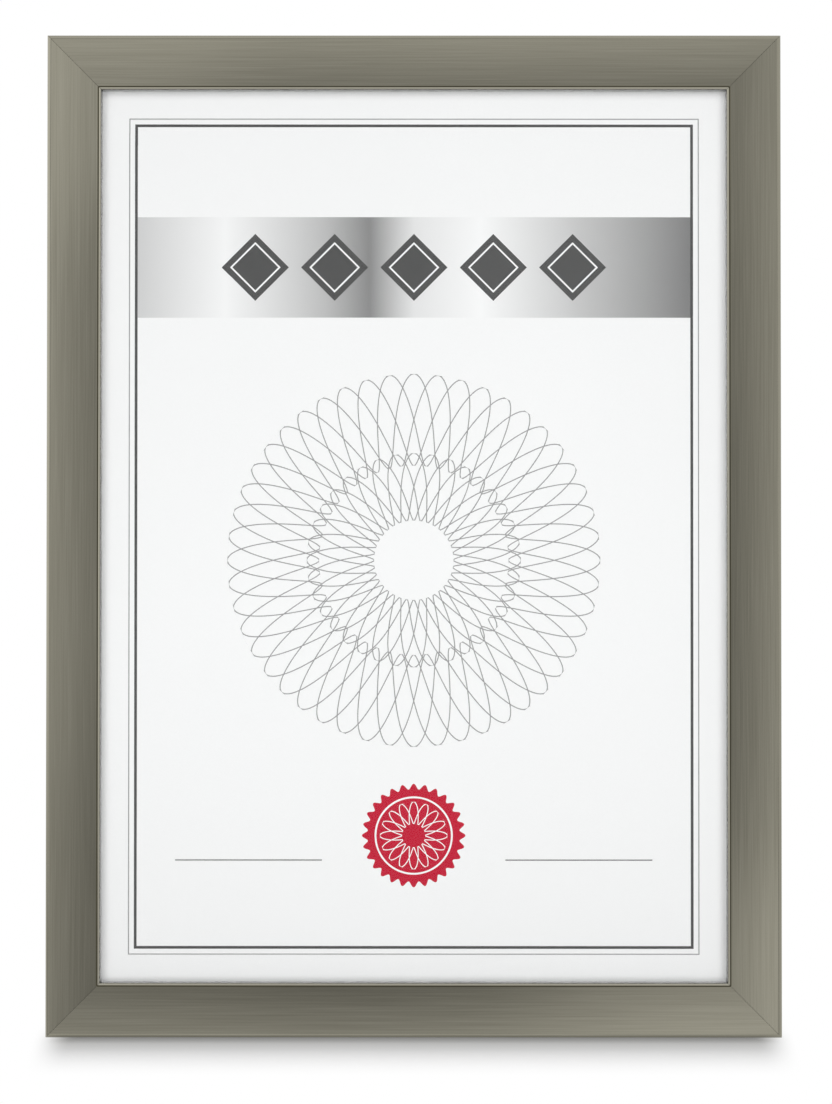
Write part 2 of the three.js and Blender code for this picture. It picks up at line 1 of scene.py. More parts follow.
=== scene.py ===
# %% [markdown]
# # A steel document frame on its strut
# This lesson dresses a standing frame for an A4 sheet: mitred steel rails, glass, a printed sheet, a
# hardboard back with turn buttons and hangers, and a hinged strut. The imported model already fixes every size
# and place, so each piece made here is a finer skin over the solid that carries it.

# %% Load the construction
import json
from math import atan2, cos, pi, radians, sin, tan

import bmesh
import bpy
import numpy as np
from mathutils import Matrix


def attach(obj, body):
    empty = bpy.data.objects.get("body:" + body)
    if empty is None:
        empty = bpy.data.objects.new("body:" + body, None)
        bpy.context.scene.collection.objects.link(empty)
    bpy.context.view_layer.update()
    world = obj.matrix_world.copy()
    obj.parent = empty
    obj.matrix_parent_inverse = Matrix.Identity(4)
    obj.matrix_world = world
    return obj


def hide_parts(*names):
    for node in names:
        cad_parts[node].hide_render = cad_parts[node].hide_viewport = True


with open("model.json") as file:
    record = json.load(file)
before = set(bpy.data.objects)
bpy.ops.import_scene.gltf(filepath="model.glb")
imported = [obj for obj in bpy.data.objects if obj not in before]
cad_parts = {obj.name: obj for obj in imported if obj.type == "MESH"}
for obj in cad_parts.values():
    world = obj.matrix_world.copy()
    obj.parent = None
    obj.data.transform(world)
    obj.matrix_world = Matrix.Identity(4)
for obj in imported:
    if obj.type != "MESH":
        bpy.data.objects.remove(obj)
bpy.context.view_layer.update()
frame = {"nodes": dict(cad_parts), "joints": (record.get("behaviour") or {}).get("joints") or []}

scene = bpy.context.scene
joints = {joint["name"]: joint for joint in frame["joints"]}

# %% [markdown]
# ## The camera
# The photograph looks almost squarely at the glass with a long lens, so the picture's sides stay nearly
# parallel. The place and the tilt were worked out from the four outer corners of the frame. A camera that is
# turned by its own angles needs no target object, and no shift of the lens.

# %% Camera
CAMERA_LENS = 110
CAMERA_PLACE = (0.0020, -1.0807, 0.4033)
CAMERA_DOWN = 13.003
CAMERA_LEFT = 0.069

camera_data = bpy.data.cameras.new("camera")
camera_data.lens = CAMERA_LENS
camera = bpy.data.objects.new("camera", camera_data)
camera.location = CAMERA_PLACE
camera.rotation_euler = (radians(90 - CAMERA_DOWN), 0, radians(CAMERA_LEFT))
scene.collection.objects.link(camera)
scene.camera = camera
scene.view_settings.view_transform = "Standard"
print("camera stands at", [round(value, 3) for value in camera.location])

# %% [markdown]
# ## Working along the lean
# The frame leans back and its strut leans the other way, so their pieces are awkward to write on the world's
# axes. A small class holds a set of axes instead: across, up along the piece, and out to the front, in
# millimetres. It also measures a solid along those axes, and so gives the sizes that the skins have to keep.

# %% Axes of the frame and of the strut
MM = 0.001
ACROSS = np.array([1.0, 0.0, 0.0])


class Axes:
    """Right-handed working axes: across, up and front, counted in millimetres from an origin."""

    def __init__(self, origin, up, front):
        self.origin = np.asarray(origin, float)
        self.turn = np.stack([ACROSS, up, front])

    def to_model(self, points):
        """Working points in the model's own frame: each axis times its coordinate, plus the origin."""
        return points * MM @ self.turn + self.origin

    def from_model(self, points):
        """The other way round: the distance from the origin along each axis."""
        return (points - self.origin) @ self.turn.T / MM

    def reach(self, node):
        """Lowest and highest corner of a solid on these axes."""
        mesh = frame["nodes"][node].data
        flat = np.empty(3 * len(mesh.vertices), np.float32)
        mesh.vertices.foreach_get("co", flat)
        points = self.from_model(flat.reshape(-1, 3))
        return points.min(0), points.max(0)

    def slant(self):
        """The turn about x that brings the model's frame onto these axes."""
        return atan2(-self.turn[1, 2], self.turn[1, 1])


RAILS = ("bottom_rail", "left_rail", "top_rail", "right_rail")
back = np.array(joints["turn_top_left"]["axis"])
up = np.cross(ACROSS, back)
from_origin = Axes(np.zeros(3), up, -back)
lowest = np.min([from_origin.reach(rail)[0] for rail in RAILS], axis=0)
standing = Axes((up * lowest[1] - back * lowest[2]) * MM, up, -back)

strut_open = radians(joints["strut_fold"]["range_deg"][1])
strut_up = cos(strut_open) * up - sin(strut_open) * back
strut_front = -cos(strut_open) * back - sin(strut_open) * up
hanging = Axes(joints["strut_fold"]["pos_m"], strut_up, strut_front)

frame_width = 2 * standing.reach("right_rail")[1][0]
frame_height = standing.reach("top_rail")[1][1]
rail_width, rail_depth = standing.reach("bottom_rail")[1][1:]
print("frame", frame_width.round(2), "by", frame_height.round(2), "by", rail_depth.round(2), "mm")

# %% [markdown]
# ## Shapes as arrays
# Nearly every piece here is formed sheet, turned wire or cut board. All of them can be written as a stack of
# rings: an outline carried along a path, a profile spun round an axis, or a plate whose rims are drawn in by
# a quarter circle. One function skins a stack of rings, and numpy works out all points of a ring at once.

# %% Outlines
ARC_STEPS = 7
RIM_STEPS = 5
TINY = 1e-9
SMALL = 1e-6
LEAST_TURN = 0.2


def rounded(corners):
    """A closed outline from rows of x, y and radius. Where the radius isn't 0, an arc that touches both
    sides replaces the corner: its centre lies on the bisector, and its points swing evenly between them."""
    corners = np.array(corners, float)
    points, radius = corners[:, :2], corners[:, 2:]
    before = np.roll(points, 1, 0) - points
    after = np.roll(points, -1, 0) - points
    before /= np.linalg.norm(before, axis=1, keepdims=True)
    after /= np.linalg.norm(after, axis=1, keepdims=True)
    opening = np.arccos(np.clip((before * after).sum(1, keepdims=True), -1, 1))
    bisector = before + after
    bisector /= np.maximum(np.linalg.norm(bisector, axis=1, keepdims=True), TINY)
    centre = points + bisector * radius / np.sin(opening / 2)
    reach = radius / np.tan(opening / 2)
    start = (points + before * reach - centre)[:, None]
    end = (points + after * reach - centre)[:, None]
    swing = np.maximum(pi - opening, SMALL)[:, None]
    share = np.linspace(0, 1, ARC_STEPS)[None, :, None]
    arc = (np.sin((1 - share) * swing) * start + np.sin(share * swing) * end) / np.sin(swing)
    outline = (centre[:, None] + arc).reshape(-1, 2)
    apart = np.linalg.norm(outline - np.roll(outline, 1, 0), axis=1) > SMALL
    return outline[apart]


def drawn_in(outline, by):
    """An outline moved inwards: each point goes along the mean of its two sides' normals, far enough that
    both sides move by the same distance. The outline runs anticlockwise."""
    side = np.roll(outline, -1, 0) - outline
    side /= np.linalg.norm(side, axis=1, keepdims=True)
    normal = np.stack([-side[:, 1], side[:, 0]], 1)
    earlier = np.roll(normal, 1, 0)
    turn = 1 + (normal * earlier).sum(1, keepdims=True)
    return outline + by * (normal + earlier) / np.maximum(turn, LEAST_TURN)


def box_outline(low, high, radius):
    """A rectangle between two corners, with round corners of one radius."""
    left, bottom, right, top = low[0], low[1], high[0], high[1]
    corners = ((left, bottom), (right, bottom), (right, top), (left, top))
    return rounded([[*corner, radius] for corner in corners])


print("outline helpers ready, a round corner has", ARC_STEPS, "points")

# %% Skins
TURNED_SIDES = 28
PLAIN = ((1, 0, 0), (0, 1, 0), (0, 0, 1))


def loft(rings, looped=False):
    """The skin over a stack of rings. Point j of ring i joins point j + 1 and the same two points of ring
    i + 1. A flat cap closes each end, unless the last ring joins the first. Returns points, quads, caps."""
    rings = np.asarray(rings, float)
    count, size = rings.shape[:2]
    index = np.arange(count * size).reshape(count, size)
    near = index if looped else index[:-1]
    far = np.roll(index, -1, 0) if looped else index[1:]
    quads = np.stack([near, np.roll(near, -1, 1), np.roll(far, -1, 1), far], -1).reshape(-1, 4)
    caps = [] if looped else [index[0], index[-1]]
    return rings.reshape(-1, 3), quads, caps


def raised(outline, height):
    """A flat outline lifted to a height, as points in space."""
    return np.column_stack([outline, np.full(len(outline), height)])


def soft_rings(outline, low, high, edge):
    """Rings of a plate from its low face to its high face, drawn in at each rim by a quarter circle of
    radius edge."""
    swing = np.linspace(0, pi / 2, RIM_STEPS)
    inset = edge * (1 - np.sin(swing))
    height = edge * (1 - np.cos(swing))
    insets = np.concatenate([inset, inset[::-1]])
    heights = np.concatenate([low + height, high - height[::-1]])
    return [raised(drawn_in(outline, by), at) for by, at in zip(insets, heights)]


def plate(outline, low, high, edge):
    """A plate with soft rims: its outline stacked from the low face to the high face."""
    return loft(soft_rings(outline, low, high, edge))


def pierced_plate(outline, hole, low, high, edge):
    """A plate with a round hole at the origin: the hole's points lie on the same rays as the outline's, and
    the stack of rings runs up the outside, in to the hole and down it again."""
    bearing = np.arctan2(outline[:, 1], outline[:, 0])
    bore = hole * np.column_stack([np.cos(bearing), np.sin(bearing)])
    rings = soft_rings(outline, low, high, edge)
    return loft(rings + [raised(bore, high), raised(bore, low)], looped=True)


def turned(profile, sides=TURNED_SIDES):
    """A profile of radius and height pairs spun round the third axis."""
    radius, height = np.array(profile, float).T[:, :, None]
    angle = np.linspace(0, 2 * pi, sides, endpoint=False)
    heights = np.broadcast_to(height, (len(height), sides))
    return loft(np.stack([radius * np.cos(angle), radius * np.sin(angle), heights], 2))


def moved(skin, move, axes=PLAIN):
    """A skin with its three axes laid along others, then moved."""
    points, quads, caps = skin
    return points @ np.array(axes, float) + np.array(move, float), quads, caps


print("skin helpers ready, a soft rim has", 2 * RIM_STEPS, "rings")

# %% [markdown]
# ## From skins to pieces
# A piece may be several closed skins, such as a plate and its ears. They share one mesh, whose faces are
# turned outwards and shaded smooth up to a limit of angle. The piece then rides on a body of the model,
# stands for the solid that it covers, and names the material slot that it belongs to.

# %% Pieces
SMOOTH_UP_TO = radians(24)
made = []


def make_piece(node, how, skins, finish, axes=standing, body="frame"):
    """One mesh object from closed skins, in place on the model, over the solid that it is named for."""
    starts = np.cumsum([0] + [len(skin[0]) for skin in skins])
    points = axes.to_model(np.concatenate([skin[0] for skin in skins]))
    quads = np.concatenate([skin[1] + start for skin, start in zip(skins, starts)])
    caps = [(cap + start).tolist() for skin, start in zip(skins, starts) for cap in skin[2]]
    name = f"{node}_{how}"
    mesh = bpy.data.meshes.new(name)
    mesh.from_pydata(points.tolist(), [], quads.tolist() + caps)
    shell = bmesh.new()
    shell.from_mesh(mesh)
    bmesh.ops.recalc_face_normals(shell, faces=shell.faces)
    shell.to_mesh(mesh)
    shell.free()
    mesh.shade_smooth()
    mesh.set_sharp_from_angle(angle=SMOOTH_UP_TO)
    mesh.materials.append(finish)
    piece = bpy.data.objects.new(name, mesh)
    scene.collection.objects.link(piece)
    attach(piece, body)
    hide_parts(node)
    made.append(piece)
    return piece


def tally(what):
    """Prints how many pieces and faces were made since the last tally."""
    print(what, len(made), "pieces,", sum(len(piece.data.polygons) for piece in made), "faces")
    made.clear()


print("pieces take their smooth shading up to", round(SMOOTH_UP_TO, 2), "radians")

# %% [markdown]
# ## Finishes as expressions
# A shader is a graph of nodes, and a formula is easier to read than a graph. The class below wraps one
# socket, so that plain arithmetic adds Math nodes, and one method adds a node of any other kind.

# %% A socket that understands arithmetic
MIX_FIRST, MIX_SECOND, MIX_COLOUR = 6, 7, 2


def arithmetic(operation, swapped=False):
    """A method for an operator, which adds a Math node. The reflected form swaps the two values."""

    def method(wire, *others):
        values = (*others, wire) if swapped else (wire, *others)
        return wire.node("Math", {"operation": operation}, dict(enumerate(values)))

    return method


class Wire:
    """One socket of a shader tree."""

    def __init__(self, tree, socket=None):
        self.tree = tree
        self.socket = socket

    def node(self, kind, settings=None, inputs=None, output=0):
        """Adds a node, gives it its settings, then fills or links its sockets, and returns one output."""
        added = self.tree.nodes.new("ShaderNode" + kind)
        for name, value in (settings or {}).items():
            setattr(added, name, value)
        for name, value in (inputs or {}).items():
            if isinstance(value, Wire):
                self.tree.links.new(value.socket, added.inputs[name])
            else:
                added.inputs[name].default_value = value
        return Wire(self.tree, added.outputs[output]) if added.outputs else None

    def math(self, operation, *others):
        """A Math node on this value and any others."""
        return arithmetic(operation)(self, *others)

    def blend(self, first, second):
        """A colour between two colours, this value being the share of the second. A Mix node has sockets of
        the same name for each kind of data, so its colours go by number."""
        inputs = {0: self, MIX_FIRST: first, MIX_SECOND: second}
        return self.node("Mix", {"data_type": "RGBA"}, inputs, MIX_COLOUR)

    __add__ = __radd__ = arithmetic("ADD")
    __mul__ = __rmul__ = arithmetic("MULTIPLY")
    __sub__ = arithmetic("SUBTRACT")
    __rsub__ = arithmetic("SUBTRACT", swapped=True)
    __truediv__ = arithmetic("DIVIDE")
    __rtruediv__ = arithmetic("DIVIDE", swapped=True)
    __abs__ = arithmetic("ABSOLUTE")
    __lt__ = arithmetic("LESS_THAN")
    __gt__ = arithmetic("GREATER_THAN")


def colour(red, green, blue):
    """A colour as seen on a screen, 0 to 255, turned by the sRGB formula into the linear light that shaders
    count in."""
    share = np.array([red, green, blue]) / 255
    linear = np.where(share > 0.04045, ((share + 0.055) / 1.055) ** 2.4, share / 12.92)
    return (*linear.tolist(), 1.0)


def empty_tree(owner):
    """A wire to write the nodes of a material or a world with, after what it came with is cleared."""
    owner.use_nodes = True
    owner.node_tree.nodes.clear()
    return Wire(owner.node_tree)


def new_finish(name, surface, *details):
    """A material whose surface is written by a function of a wire and any details."""
    material = bpy.data.materials.new(name)
    wire = empty_tree(material)
    wire.node("OutputMaterial", None, {"Surface": surface(wire, *details)})
    print("finish", name, "has", len(material.node_tree.nodes), "nodes")
    return material


def on_axes(wire, axes, centre=(0, 0, 0)):
    """Object coordinates turned onto working axes, in millimetres from a centre."""
    place = -(axes.turn @ axes.origin) / MM - np.array(centre, float)
    settings = {"Location": place.tolist(), "Rotation": (axes.slant(), 0, 0), "Scale": (1 / MM,) * 3}
    own = wire.node("TexCoord", output="Object")
    return wire.node("Mapping", None, {"Vector": own, **settings})


def across_and_up(wire, place):
    """The first two parts of a vector."""
    parts = wire.node("SeparateXYZ", None, {"Vector": place}).socket.node
    return [Wire(wire.tree, parts.outputs[axis]) for axis in "XY"]


def stretched_noise(wire, place, noise):
    """Noise given as a scale along each axis of its coordinates, and then its detail. It sways about 0.5."""
    *scale, detail = noise
    laid = wire.node("Mapping", None, {"Vector": place, "Scale": scale})
    return wire.node("TexNoise", None, {"Vector": laid, "Scale": 1.0, "Detail": detail})


def coat(wire, tint, rough, height, relief, metal=0.0):
    """A shader with a tint, a roughness, and a relief given as its strength and its depth in millimetres."""
    strength, depth = relief
    bump = wire.node("Bump", None, {"Strength": strength, "Distance": depth * MM, "Height": height})
    inputs = {"Base Color": tint, "Metallic": metal, "Roughness": rough, "Normal": bump}
    return wire.node("BsdfPrincipled", None, inputs)


print("shader helpers ready")

# %% [markdown]
# ## Brushed steel for the rails
# The rails are a warm grey, darker than bare steel, with hairlines that run along each length. Noise drawn
# out along the rail gives the hairlines. It is read from an attribute that holds the distance along the rail
# and round its section, so the grain turns the corner at each mitre as it does on a real frame. Two more
# attributes mark the bead, whose lighter colour is a painted highlight, and the wall beside the glass,
# which is painted dark as shade.

# %% Rail finish
RAIL_DARK = colour(132, 129, 115)
RAIL_LIGHT = colour(160, 157, 143)
# Painted highlight: the lighter colour of the bead.
BEAD_PAINTED_HIGHLIGHT = colour(166, 163, 150)
# Painted shade: the dark colour of the wall beside the glass.
SIGHT_WALL_PAINTED_SHADE = colour(70, 67, 60)
HAIRLINE = (26, 1900, 1, 2)
BROAD_STREAK = (5, 420, 1, 2)
HAIRLINE_TINT, STREAK_TINT = 0.9, 0.35
STEEL_ROUGH, HAIRLINE_ROUGH = 0.08, 0.06
STEEL_RELIEF = (0.1, 0.02)


def rail_steel(wire):
    """Grain along the rail tints the steel, roughens it and scores it very slightly, and the marks on the
    mesh paint a highlight on the bead and paint shade on the wall beside the glass."""
    place = wire.node("Attribute", {"attribute_name": "grain"}, output="Vector")
    bead = wire.node("Attribute", {"attribute_name": "bead"}, output="Fac")
    painted_shade_wall = wire.node("Attribute", {"attribute_name": "painted_shade_wall"}, output="Fac")
    hairline = stretched_noise(wire, place, HAIRLINE)
    streak = stretched_noise(wire, place, BROAD_STREAK)
    tone = 0.5 + (hairline - 0.5) * HAIRLINE_TINT + (streak - 0.5) * STREAK_TINT
    # Painted highlight: the bead takes a lighter colour.
    tint = bead.blend(tone.blend(RAIL_DARK, RAIL_LIGHT), BEAD_PAINTED_HIGHLIGHT)
    # Painted shade: the wall beside the glass takes a dark colour.
    tint = painted_shade_wall.blend(tint, SIGHT_WALL_PAINTED_SHADE)
    return coat(wire, tint, STEEL_ROUGH + hairline * HAIRLINE_ROUGH, hairline, STEEL_RELIEF, metal=1.0)


steel = new_finish("rail_steel", rail_steel)

# %% [markdown]
# ## The rail section
# A rail is one strip of sheet steel, rolled into a channel that is open at the rear. Its face falls towards
# the glass with a slight crown and ends in a crease and a fine bead. The section could be a curve with a
# bevel, but an array of points keeps the bead, the folds and the slots for the turn buttons exact.

# %% Rail section
WALL = 1.0
OUTER_ROUND = 1.3
FACE_DROP = 2.6
FACE_CROWN = 0.2
FACE_STEPS = 31
EDGE_STEPS = 16
BEAD_RADIUS = 0.45
BEAD_STEPS = 12
CREASE_WIDTH = 0.35
CREASE_DEPTH = 0.2
REAR_SLOT = 4.4
FOLD_ROUND = 0.5
CUT_EDGE = 0.2
SEAT_GAP = 0.2
PACK_CLEARANCE = 0.5
BUTTON_SHEET = 0.8
BUTTON_PLAY = 0.35

glass_high = standing.reach("glass_pane")[1]
button_front = standing.reach("turn_button_top_left")[1][2]
pocket = frame_width / 2 - glass_high[0] - PACK_CLEARANCE
seat = glass_high[2] + SEAT_GAP
crease = rail_width - 2 * BEAD_RADIUS - CREASE_WIDTH
crease_height = rail_depth - FACE_DROP
slot_low = button_front - BUTTON_SHEET - BUTTON_PLAY
slot_high = button_front + BUTTON_PLAY
pocket_inside = pocket - WALL


def face_height(across):
    """Height of the face: a straight fall from the outer edge to the crease, plus a parabola as crown."""
    share = (across - OUTER_ROUND) / (crease - OUTER_ROUND)
    return rail_depth - FACE_DROP * share + 4 * FACE_CROWN * share * (1 - share)


def sharp_rows(across, height):
    """Points of a curve as corners that take no round."""
    return np.column_stack([across, height, np.zeros(len(across))]).tolist()


def rail_section():
    """The section, across from the outer edge and forward from the rear: from inside the pocket wall round
    by the rear flange, the rebate, the bead, the crease, the face and the outer wall to the inside again."""
    slot_left, slot_right = pocket / 2 - REAR_SLOT / 2, pocket / 2 + REAR_SLOT / 2
    sight_inside = rail_width - WALL
    bead = np.linspace(0, pi, BEAD_STEPS)
    face = crease + (OUTER_ROUND - crease) * (1 - np.cos(np.linspace(0, pi, FACE_STEPS))) / 2
    edge = np.linspace(pi / 2, pi, EDGE_STEPS)[1:]
    lining = np.linspace(OUTER_ROUND, sight_inside, ARC_STEPS)
    rows = [
        [pocket_inside, slot_high, 0], [pocket_inside, slot_low, 0], [pocket_inside, WALL, 0],
        [slot_right, WALL, CUT_EDGE], [slot_right, 0, CUT_EDGE], [pocket, 0, FOLD_ROUND],
        [pocket, slot_low, 0], [pocket, slot_high, 0], [pocket, seat, CUT_EDGE],
        [rail_width, seat, CUT_EDGE],
    ]
    rows += sharp_rows(rail_width - BEAD_RADIUS + BEAD_RADIUS * np.cos(bead),
                       crease_height + BEAD_RADIUS * np.sin(bead))
    rows += [[crease + CREASE_WIDTH / 2, crease_height - CREASE_DEPTH, 0]]
    rows += sharp_rows(face, face_height(face))
    rows += sharp_rows(OUTER_ROUND + OUTER_ROUND * np.cos(edge),
                       rail_depth - OUTER_ROUND + OUTER_ROUND * np.sin(edge))
    rows += [[0, 0, FOLD_ROUND], [slot_left, 0, CUT_EDGE], [slot_left, WALL, CUT_EDGE], [WALL, WALL, 0]]
    rows += [[WALL, rail_depth - OUTER_ROUND - WALL, 0]]
    rows += sharp_rows(lining, face_height(lining) - WALL)
    rows += [[sight_inside, seat + WALL, 0], [pocket_inside, seat + WALL, 0]]
    return rounded(rows)


section = rail_section()
print("section has", len(section), "points, pocket at", round(pocket, 2), "seat at", round(seat, 2))

# %% [markdown]
# ## Four rails with mitred ends
# Each rail is the section carried along a straight line. Its end rings slide along with the distance from
# the outer edge, which cuts the mitre, and the last sliver is drawn in so that the joint is a hairline. Two
# openings in the pocket wall let the turn buttons in: their quads are left out, and the sheet's edge shows.

# %% Rails
MITRE_GAP = 0.06
MITRE_EDGE = 0.03
SIGHT_FLANK = 0.1
BEAD_TOP = 0.3
BUTTON_TIP = 11.0
BUTTON_INSET = 8.0
QUARTER = np.array([[0, -1], [1, 0]])
slot_half = np.sqrt(BUTTON_TIP ** 2 - BUTTON_INSET ** 2) + BUTTON_PLAY


def row_at(across, height):
    """Number of the section point nearest to a place."""
    return int(np.argmin(np.hypot(section[:, 0] - across, section[:, 1] - height)))


def rail_skin(length, pivots):
    """The section carried along x, mitred at both ends and opened beside each pivot."""
    narrow = drawn_in(section, MITRE_EDGE)
    end = (length - MITRE_GAP) / 2 - section[:, 0]
    last = (length - MITRE_GAP) / 2 - narrow[:, 0]
    cuts = np.sort(np.concatenate([np.array(pivots) - slot_half, np.array(pivots) + slot_half]))
    between = [np.full(len(section), at) for at in cuts]
    along = [-last, MITRE_EDGE - end, *between, end - MITRE_EDGE, last]
    shapes = [narrow] + [section] * (len(along) - 2) + [narrow]
    rings = np.array([np.column_stack([at, shape]) for at, shape in zip(along, shapes)])
    points, quads, caps = loft(rings)
    index = np.arange(len(points)).reshape(len(along), -1)
    in_high = row_at(pocket_inside, slot_high)
    out_low = row_at(pocket, slot_low)
    in_low, out_high = in_high + 1, out_low + 1
    openings = np.arange(2, len(along) - 3, 2)
    kept = np.ones((len(along) - 1, len(section)), bool)
    kept[np.ix_(openings, [in_high, out_low])] = False
    near, far = index[openings], index[openings + 1]
    walls = np.array([
        [near[:, out_low], far[:, out_low], far[:, in_low], near[:, in_low]],
        [near[:, out_high], near[:, in_high], far[:, in_high], far[:, out_high]],
        [near[:, out_low], near[:, in_low], near[:, in_high], near[:, out_high]],
        [far[:, out_low], far[:, out_high], far[:, in_high], far[:, in_low]],
    ])
    walls = walls.transpose(0, 2, 1).reshape(-1, 4)
    return points, np.concatenate([quads[kept.ravel()], walls]), caps


def lay_grain(piece, points, number):
    """Stores, for each point, its distance along the rail and round the section, and the rail's number. Two
    marks, the same on every ring, tell the top of the bead, which gets a painted highlight, and the wall
    beside the glass, which gets painted shade."""
    step = np.linalg.norm(np.diff(section, axis=0, prepend=section[:1]), axis=1)
    count = len(points) // len(section)
    round_it = np.tile(np.cumsum(step), count) * MM
    grain = np.column_stack([points[:, 0] * MM, round_it, np.full(len(points), number)])
    attribute = piece.data.attributes.new("grain", "FLOAT_VECTOR", "POINT")
    attribute.data.foreach_set("vector", grain.astype(np.float32).ravel())
    across, height = section.T
    # The first mark picks the top of the bead, which gets a painted highlight.
    bead_highlight = (across > crease + CREASE_WIDTH) & (height > crease_height + BEAD_TOP)
    # The second mark picks the wall beside the glass, which is painted dark as shade.
    marks = {"bead": bead_highlight, "painted_shade_wall": across > rail_width - SIGHT_FLANK}
    for name, mark in marks.items():
        attribute = piece.data.attributes.new(name, "FLOAT", "POINT")
        attribute.data.foreach_set("value", np.tile(mark, count).astype(np.float32))


pivot_at = {name: standing.from_model(np.array(joint["pos_m"])) for name, joint in joints.items()}
pivots_across = [pivot_at[name][0] for name in ("turn_bottom_left", "turn_bottom_right")]
pivots_up = [pivot_at[name][1] - frame_height / 2 for name in ("turn_left_lower", "turn_left_upper")]

for number, rail in enumerate(RAILS):
    upright = number % 2 == 1
    length = frame_height if upright else frame_width
    points, *faces = rail_skin(length, pivots_up if upright else pivots_across)
    aside = (frame_width if upright else frame_height) / 2
    flat = (points[:, :2] - [0, aside]) @ np.linalg.matrix_power(QUARTER, number)
    placed = np.column_stack([flat + [0, frame_height / 2], points[:, 2]])
    piece = make_piece(rail, "formed", [(placed, *faces)], steel)
    lay_grain(piece, points, number)
tally("rails:")

# %% [markdown]
# ## Zinc-plated hardware
# Screws, rivets, buttons, hangers and the hinge are bright zinc on steel. Zinc plate is never even: it has
# soft clouds from the bath, tinted from faint blue to straw, and fine scuffs. A noise at a scale of its own
# gives each of them.

# %% Zinc finish
ZINC_COOL = colour(164, 169, 176)
ZINC_WARM = colour(194, 190, 178)
ZINC_CLOUD = (350, 350, 350, 3)
ZINC_GRIT = (2600, 2600, 2600, 2)
ZINC_ROUGH, CLOUD_ROUGH, GRIT_ROUGH = 0.2, 0.18, 0.12
ZINC_RELIEF = (0.15, 0.02)


def zinc_plate(wire):
    """Clouds tint the plate and change its gloss, and fine grit scuffs it."""
    own = wire.node("TexCoord", output="Object")
    cloud = stretched_noise(wire, own, ZINC_CLOUD)
    grit = stretched_noise(wire, own, ZINC_GRIT)
    rough = ZINC_ROUGH + cloud * CLOUD_ROUGH + grit * GRIT_ROUGH
    return coat(wire, cloud.blend(ZINC_COOL, ZINC_WARM), rough, grit, ZINC_RELIEF, metal=1.0)


def solids_of(kind):
    """Names of the solids that have a word in their name."""
    return [name for name in frame["nodes"] if kind in name]


def make_hardware(node, how, skins, axes=standing, body="frame"):
    """A piece of plated hardware."""
    make_piece(node, how, skins, zinc, axes, body)


zinc = new_finish("zinc_hardware", zinc_plate)
for name in solids_of("corner_key"):
    key_mesh = frame["nodes"][name].data
    key_mesh.materials.clear()
    key_mesh.materials.append(zinc)
print(zinc.name, "also covers the keys inside the corners")

# %% [markdown]
# ## Corner screws
# Two pan-head screws pull each corner key against the rails. The head is a height over a disc: a flat-topped
# dome with a cross sunk into it. On a polar grid the cross needs no cutting tool.

# %% Corner screws
SCREW_HEAD = 1.8
HEAD_FLATNESS = 4
HEAD_MIDDLE = 0.02
HEAD_RINGS = 26
SCREW_SHANK = 1.9
SCREW_POINT = 0.8
SCREW_SIDES = 72
CROSS_HALF_WIDTH = 0.5
CROSS_REACH = 2.1
CROSS_DEPTH = 1.0
CROSS_SLOPE = 0.3


def middle(low, high):
    """The place midway between two corners, at no depth."""
    return np.array([(low[0] + high[0]) / 2, (low[1] + high[1]) / 2, 0])


def screw_skin(low, high):
    """Head rings from the middle out, each as high as the dome there less the cross, then the shank."""
    radius = (high[0] - low[0]) / 2
    under = low[2] + SCREW_HEAD
    angle = np.linspace(0, 2 * pi, SCREW_SIDES, endpoint=False)
    out = np.linspace(HEAD_MIDDLE, 1, HEAD_RINGS)[:, None] * radius
    x, y = out * np.cos(angle), out * np.sin(angle)
    crown = SCREW_HEAD * np.sqrt(1 - (out / radius) ** HEAD_FLATNESS)

    def arm(beside, along):
        """One bar of the cross: full depth inside, sloping to nothing at its width and at its reach."""
        inside = np.clip((CROSS_HALF_WIDTH - abs(beside)) / CROSS_SLOPE + 0.5, 0, 1)
        return inside * np.clip((CROSS_REACH - abs(along)) / CROSS_SLOPE, 0, 1)

    height = under - crown + CROSS_DEPTH * np.maximum(arm(x, y), arm(y, x))
    head = np.stack([x, y, height], 2)
    point_low, point_radius = high[2] - SCREW_POINT, SCREW_SHANK - SCREW_POINT / 2
    tail = [[SCREW_SHANK, under], [SCREW_SHANK, point_low], [point_radius, high[2]]]
    shank = turned(tail, SCREW_SIDES)[0].reshape(-1, SCREW_SIDES, 3)
    return loft(np.concatenate([head, shank]))


for name in solids_of("corner_screw"):
    low, high = standing.reach(name)
    make_hardware(name, "turned", [moved(screw_skin(low, high), middle(low, high))])
tally("screws:")

# %% [markdown]
# ## Rivets and the hinge pin
# A set rivet has a domed head, a shank through the work and a flat flange on the far side. The plain way to
# make it is to spin a profile. The pin is the same idea with a dome at both ends, laid across the frame.

# %% Rivets and pin
RIVET_SHANK = 1.4
RIVET_HEAD = 0.9
RIVET_FLANGE = 2.4
RIVET_FLANGE_HEIGHT = 0.5
PIN_RADIUS = 1.2
PIN_HEAD = 0.8
POLE = 0.04
DOME_STEPS = 9
LIES_ACROSS = ((0, 1, 0), (0, 0, 1), (1, 0, 0))


def dome(radius, top, height):
    """A quarter ellipse from just beside the axis at the top out to the rim, as radius and height rows."""
    swing = np.linspace(pi / 2 - POLE, 0, DOME_STEPS)
    return np.column_stack([radius * np.cos(swing), top + height * (1 - np.sin(swing))]).tolist()


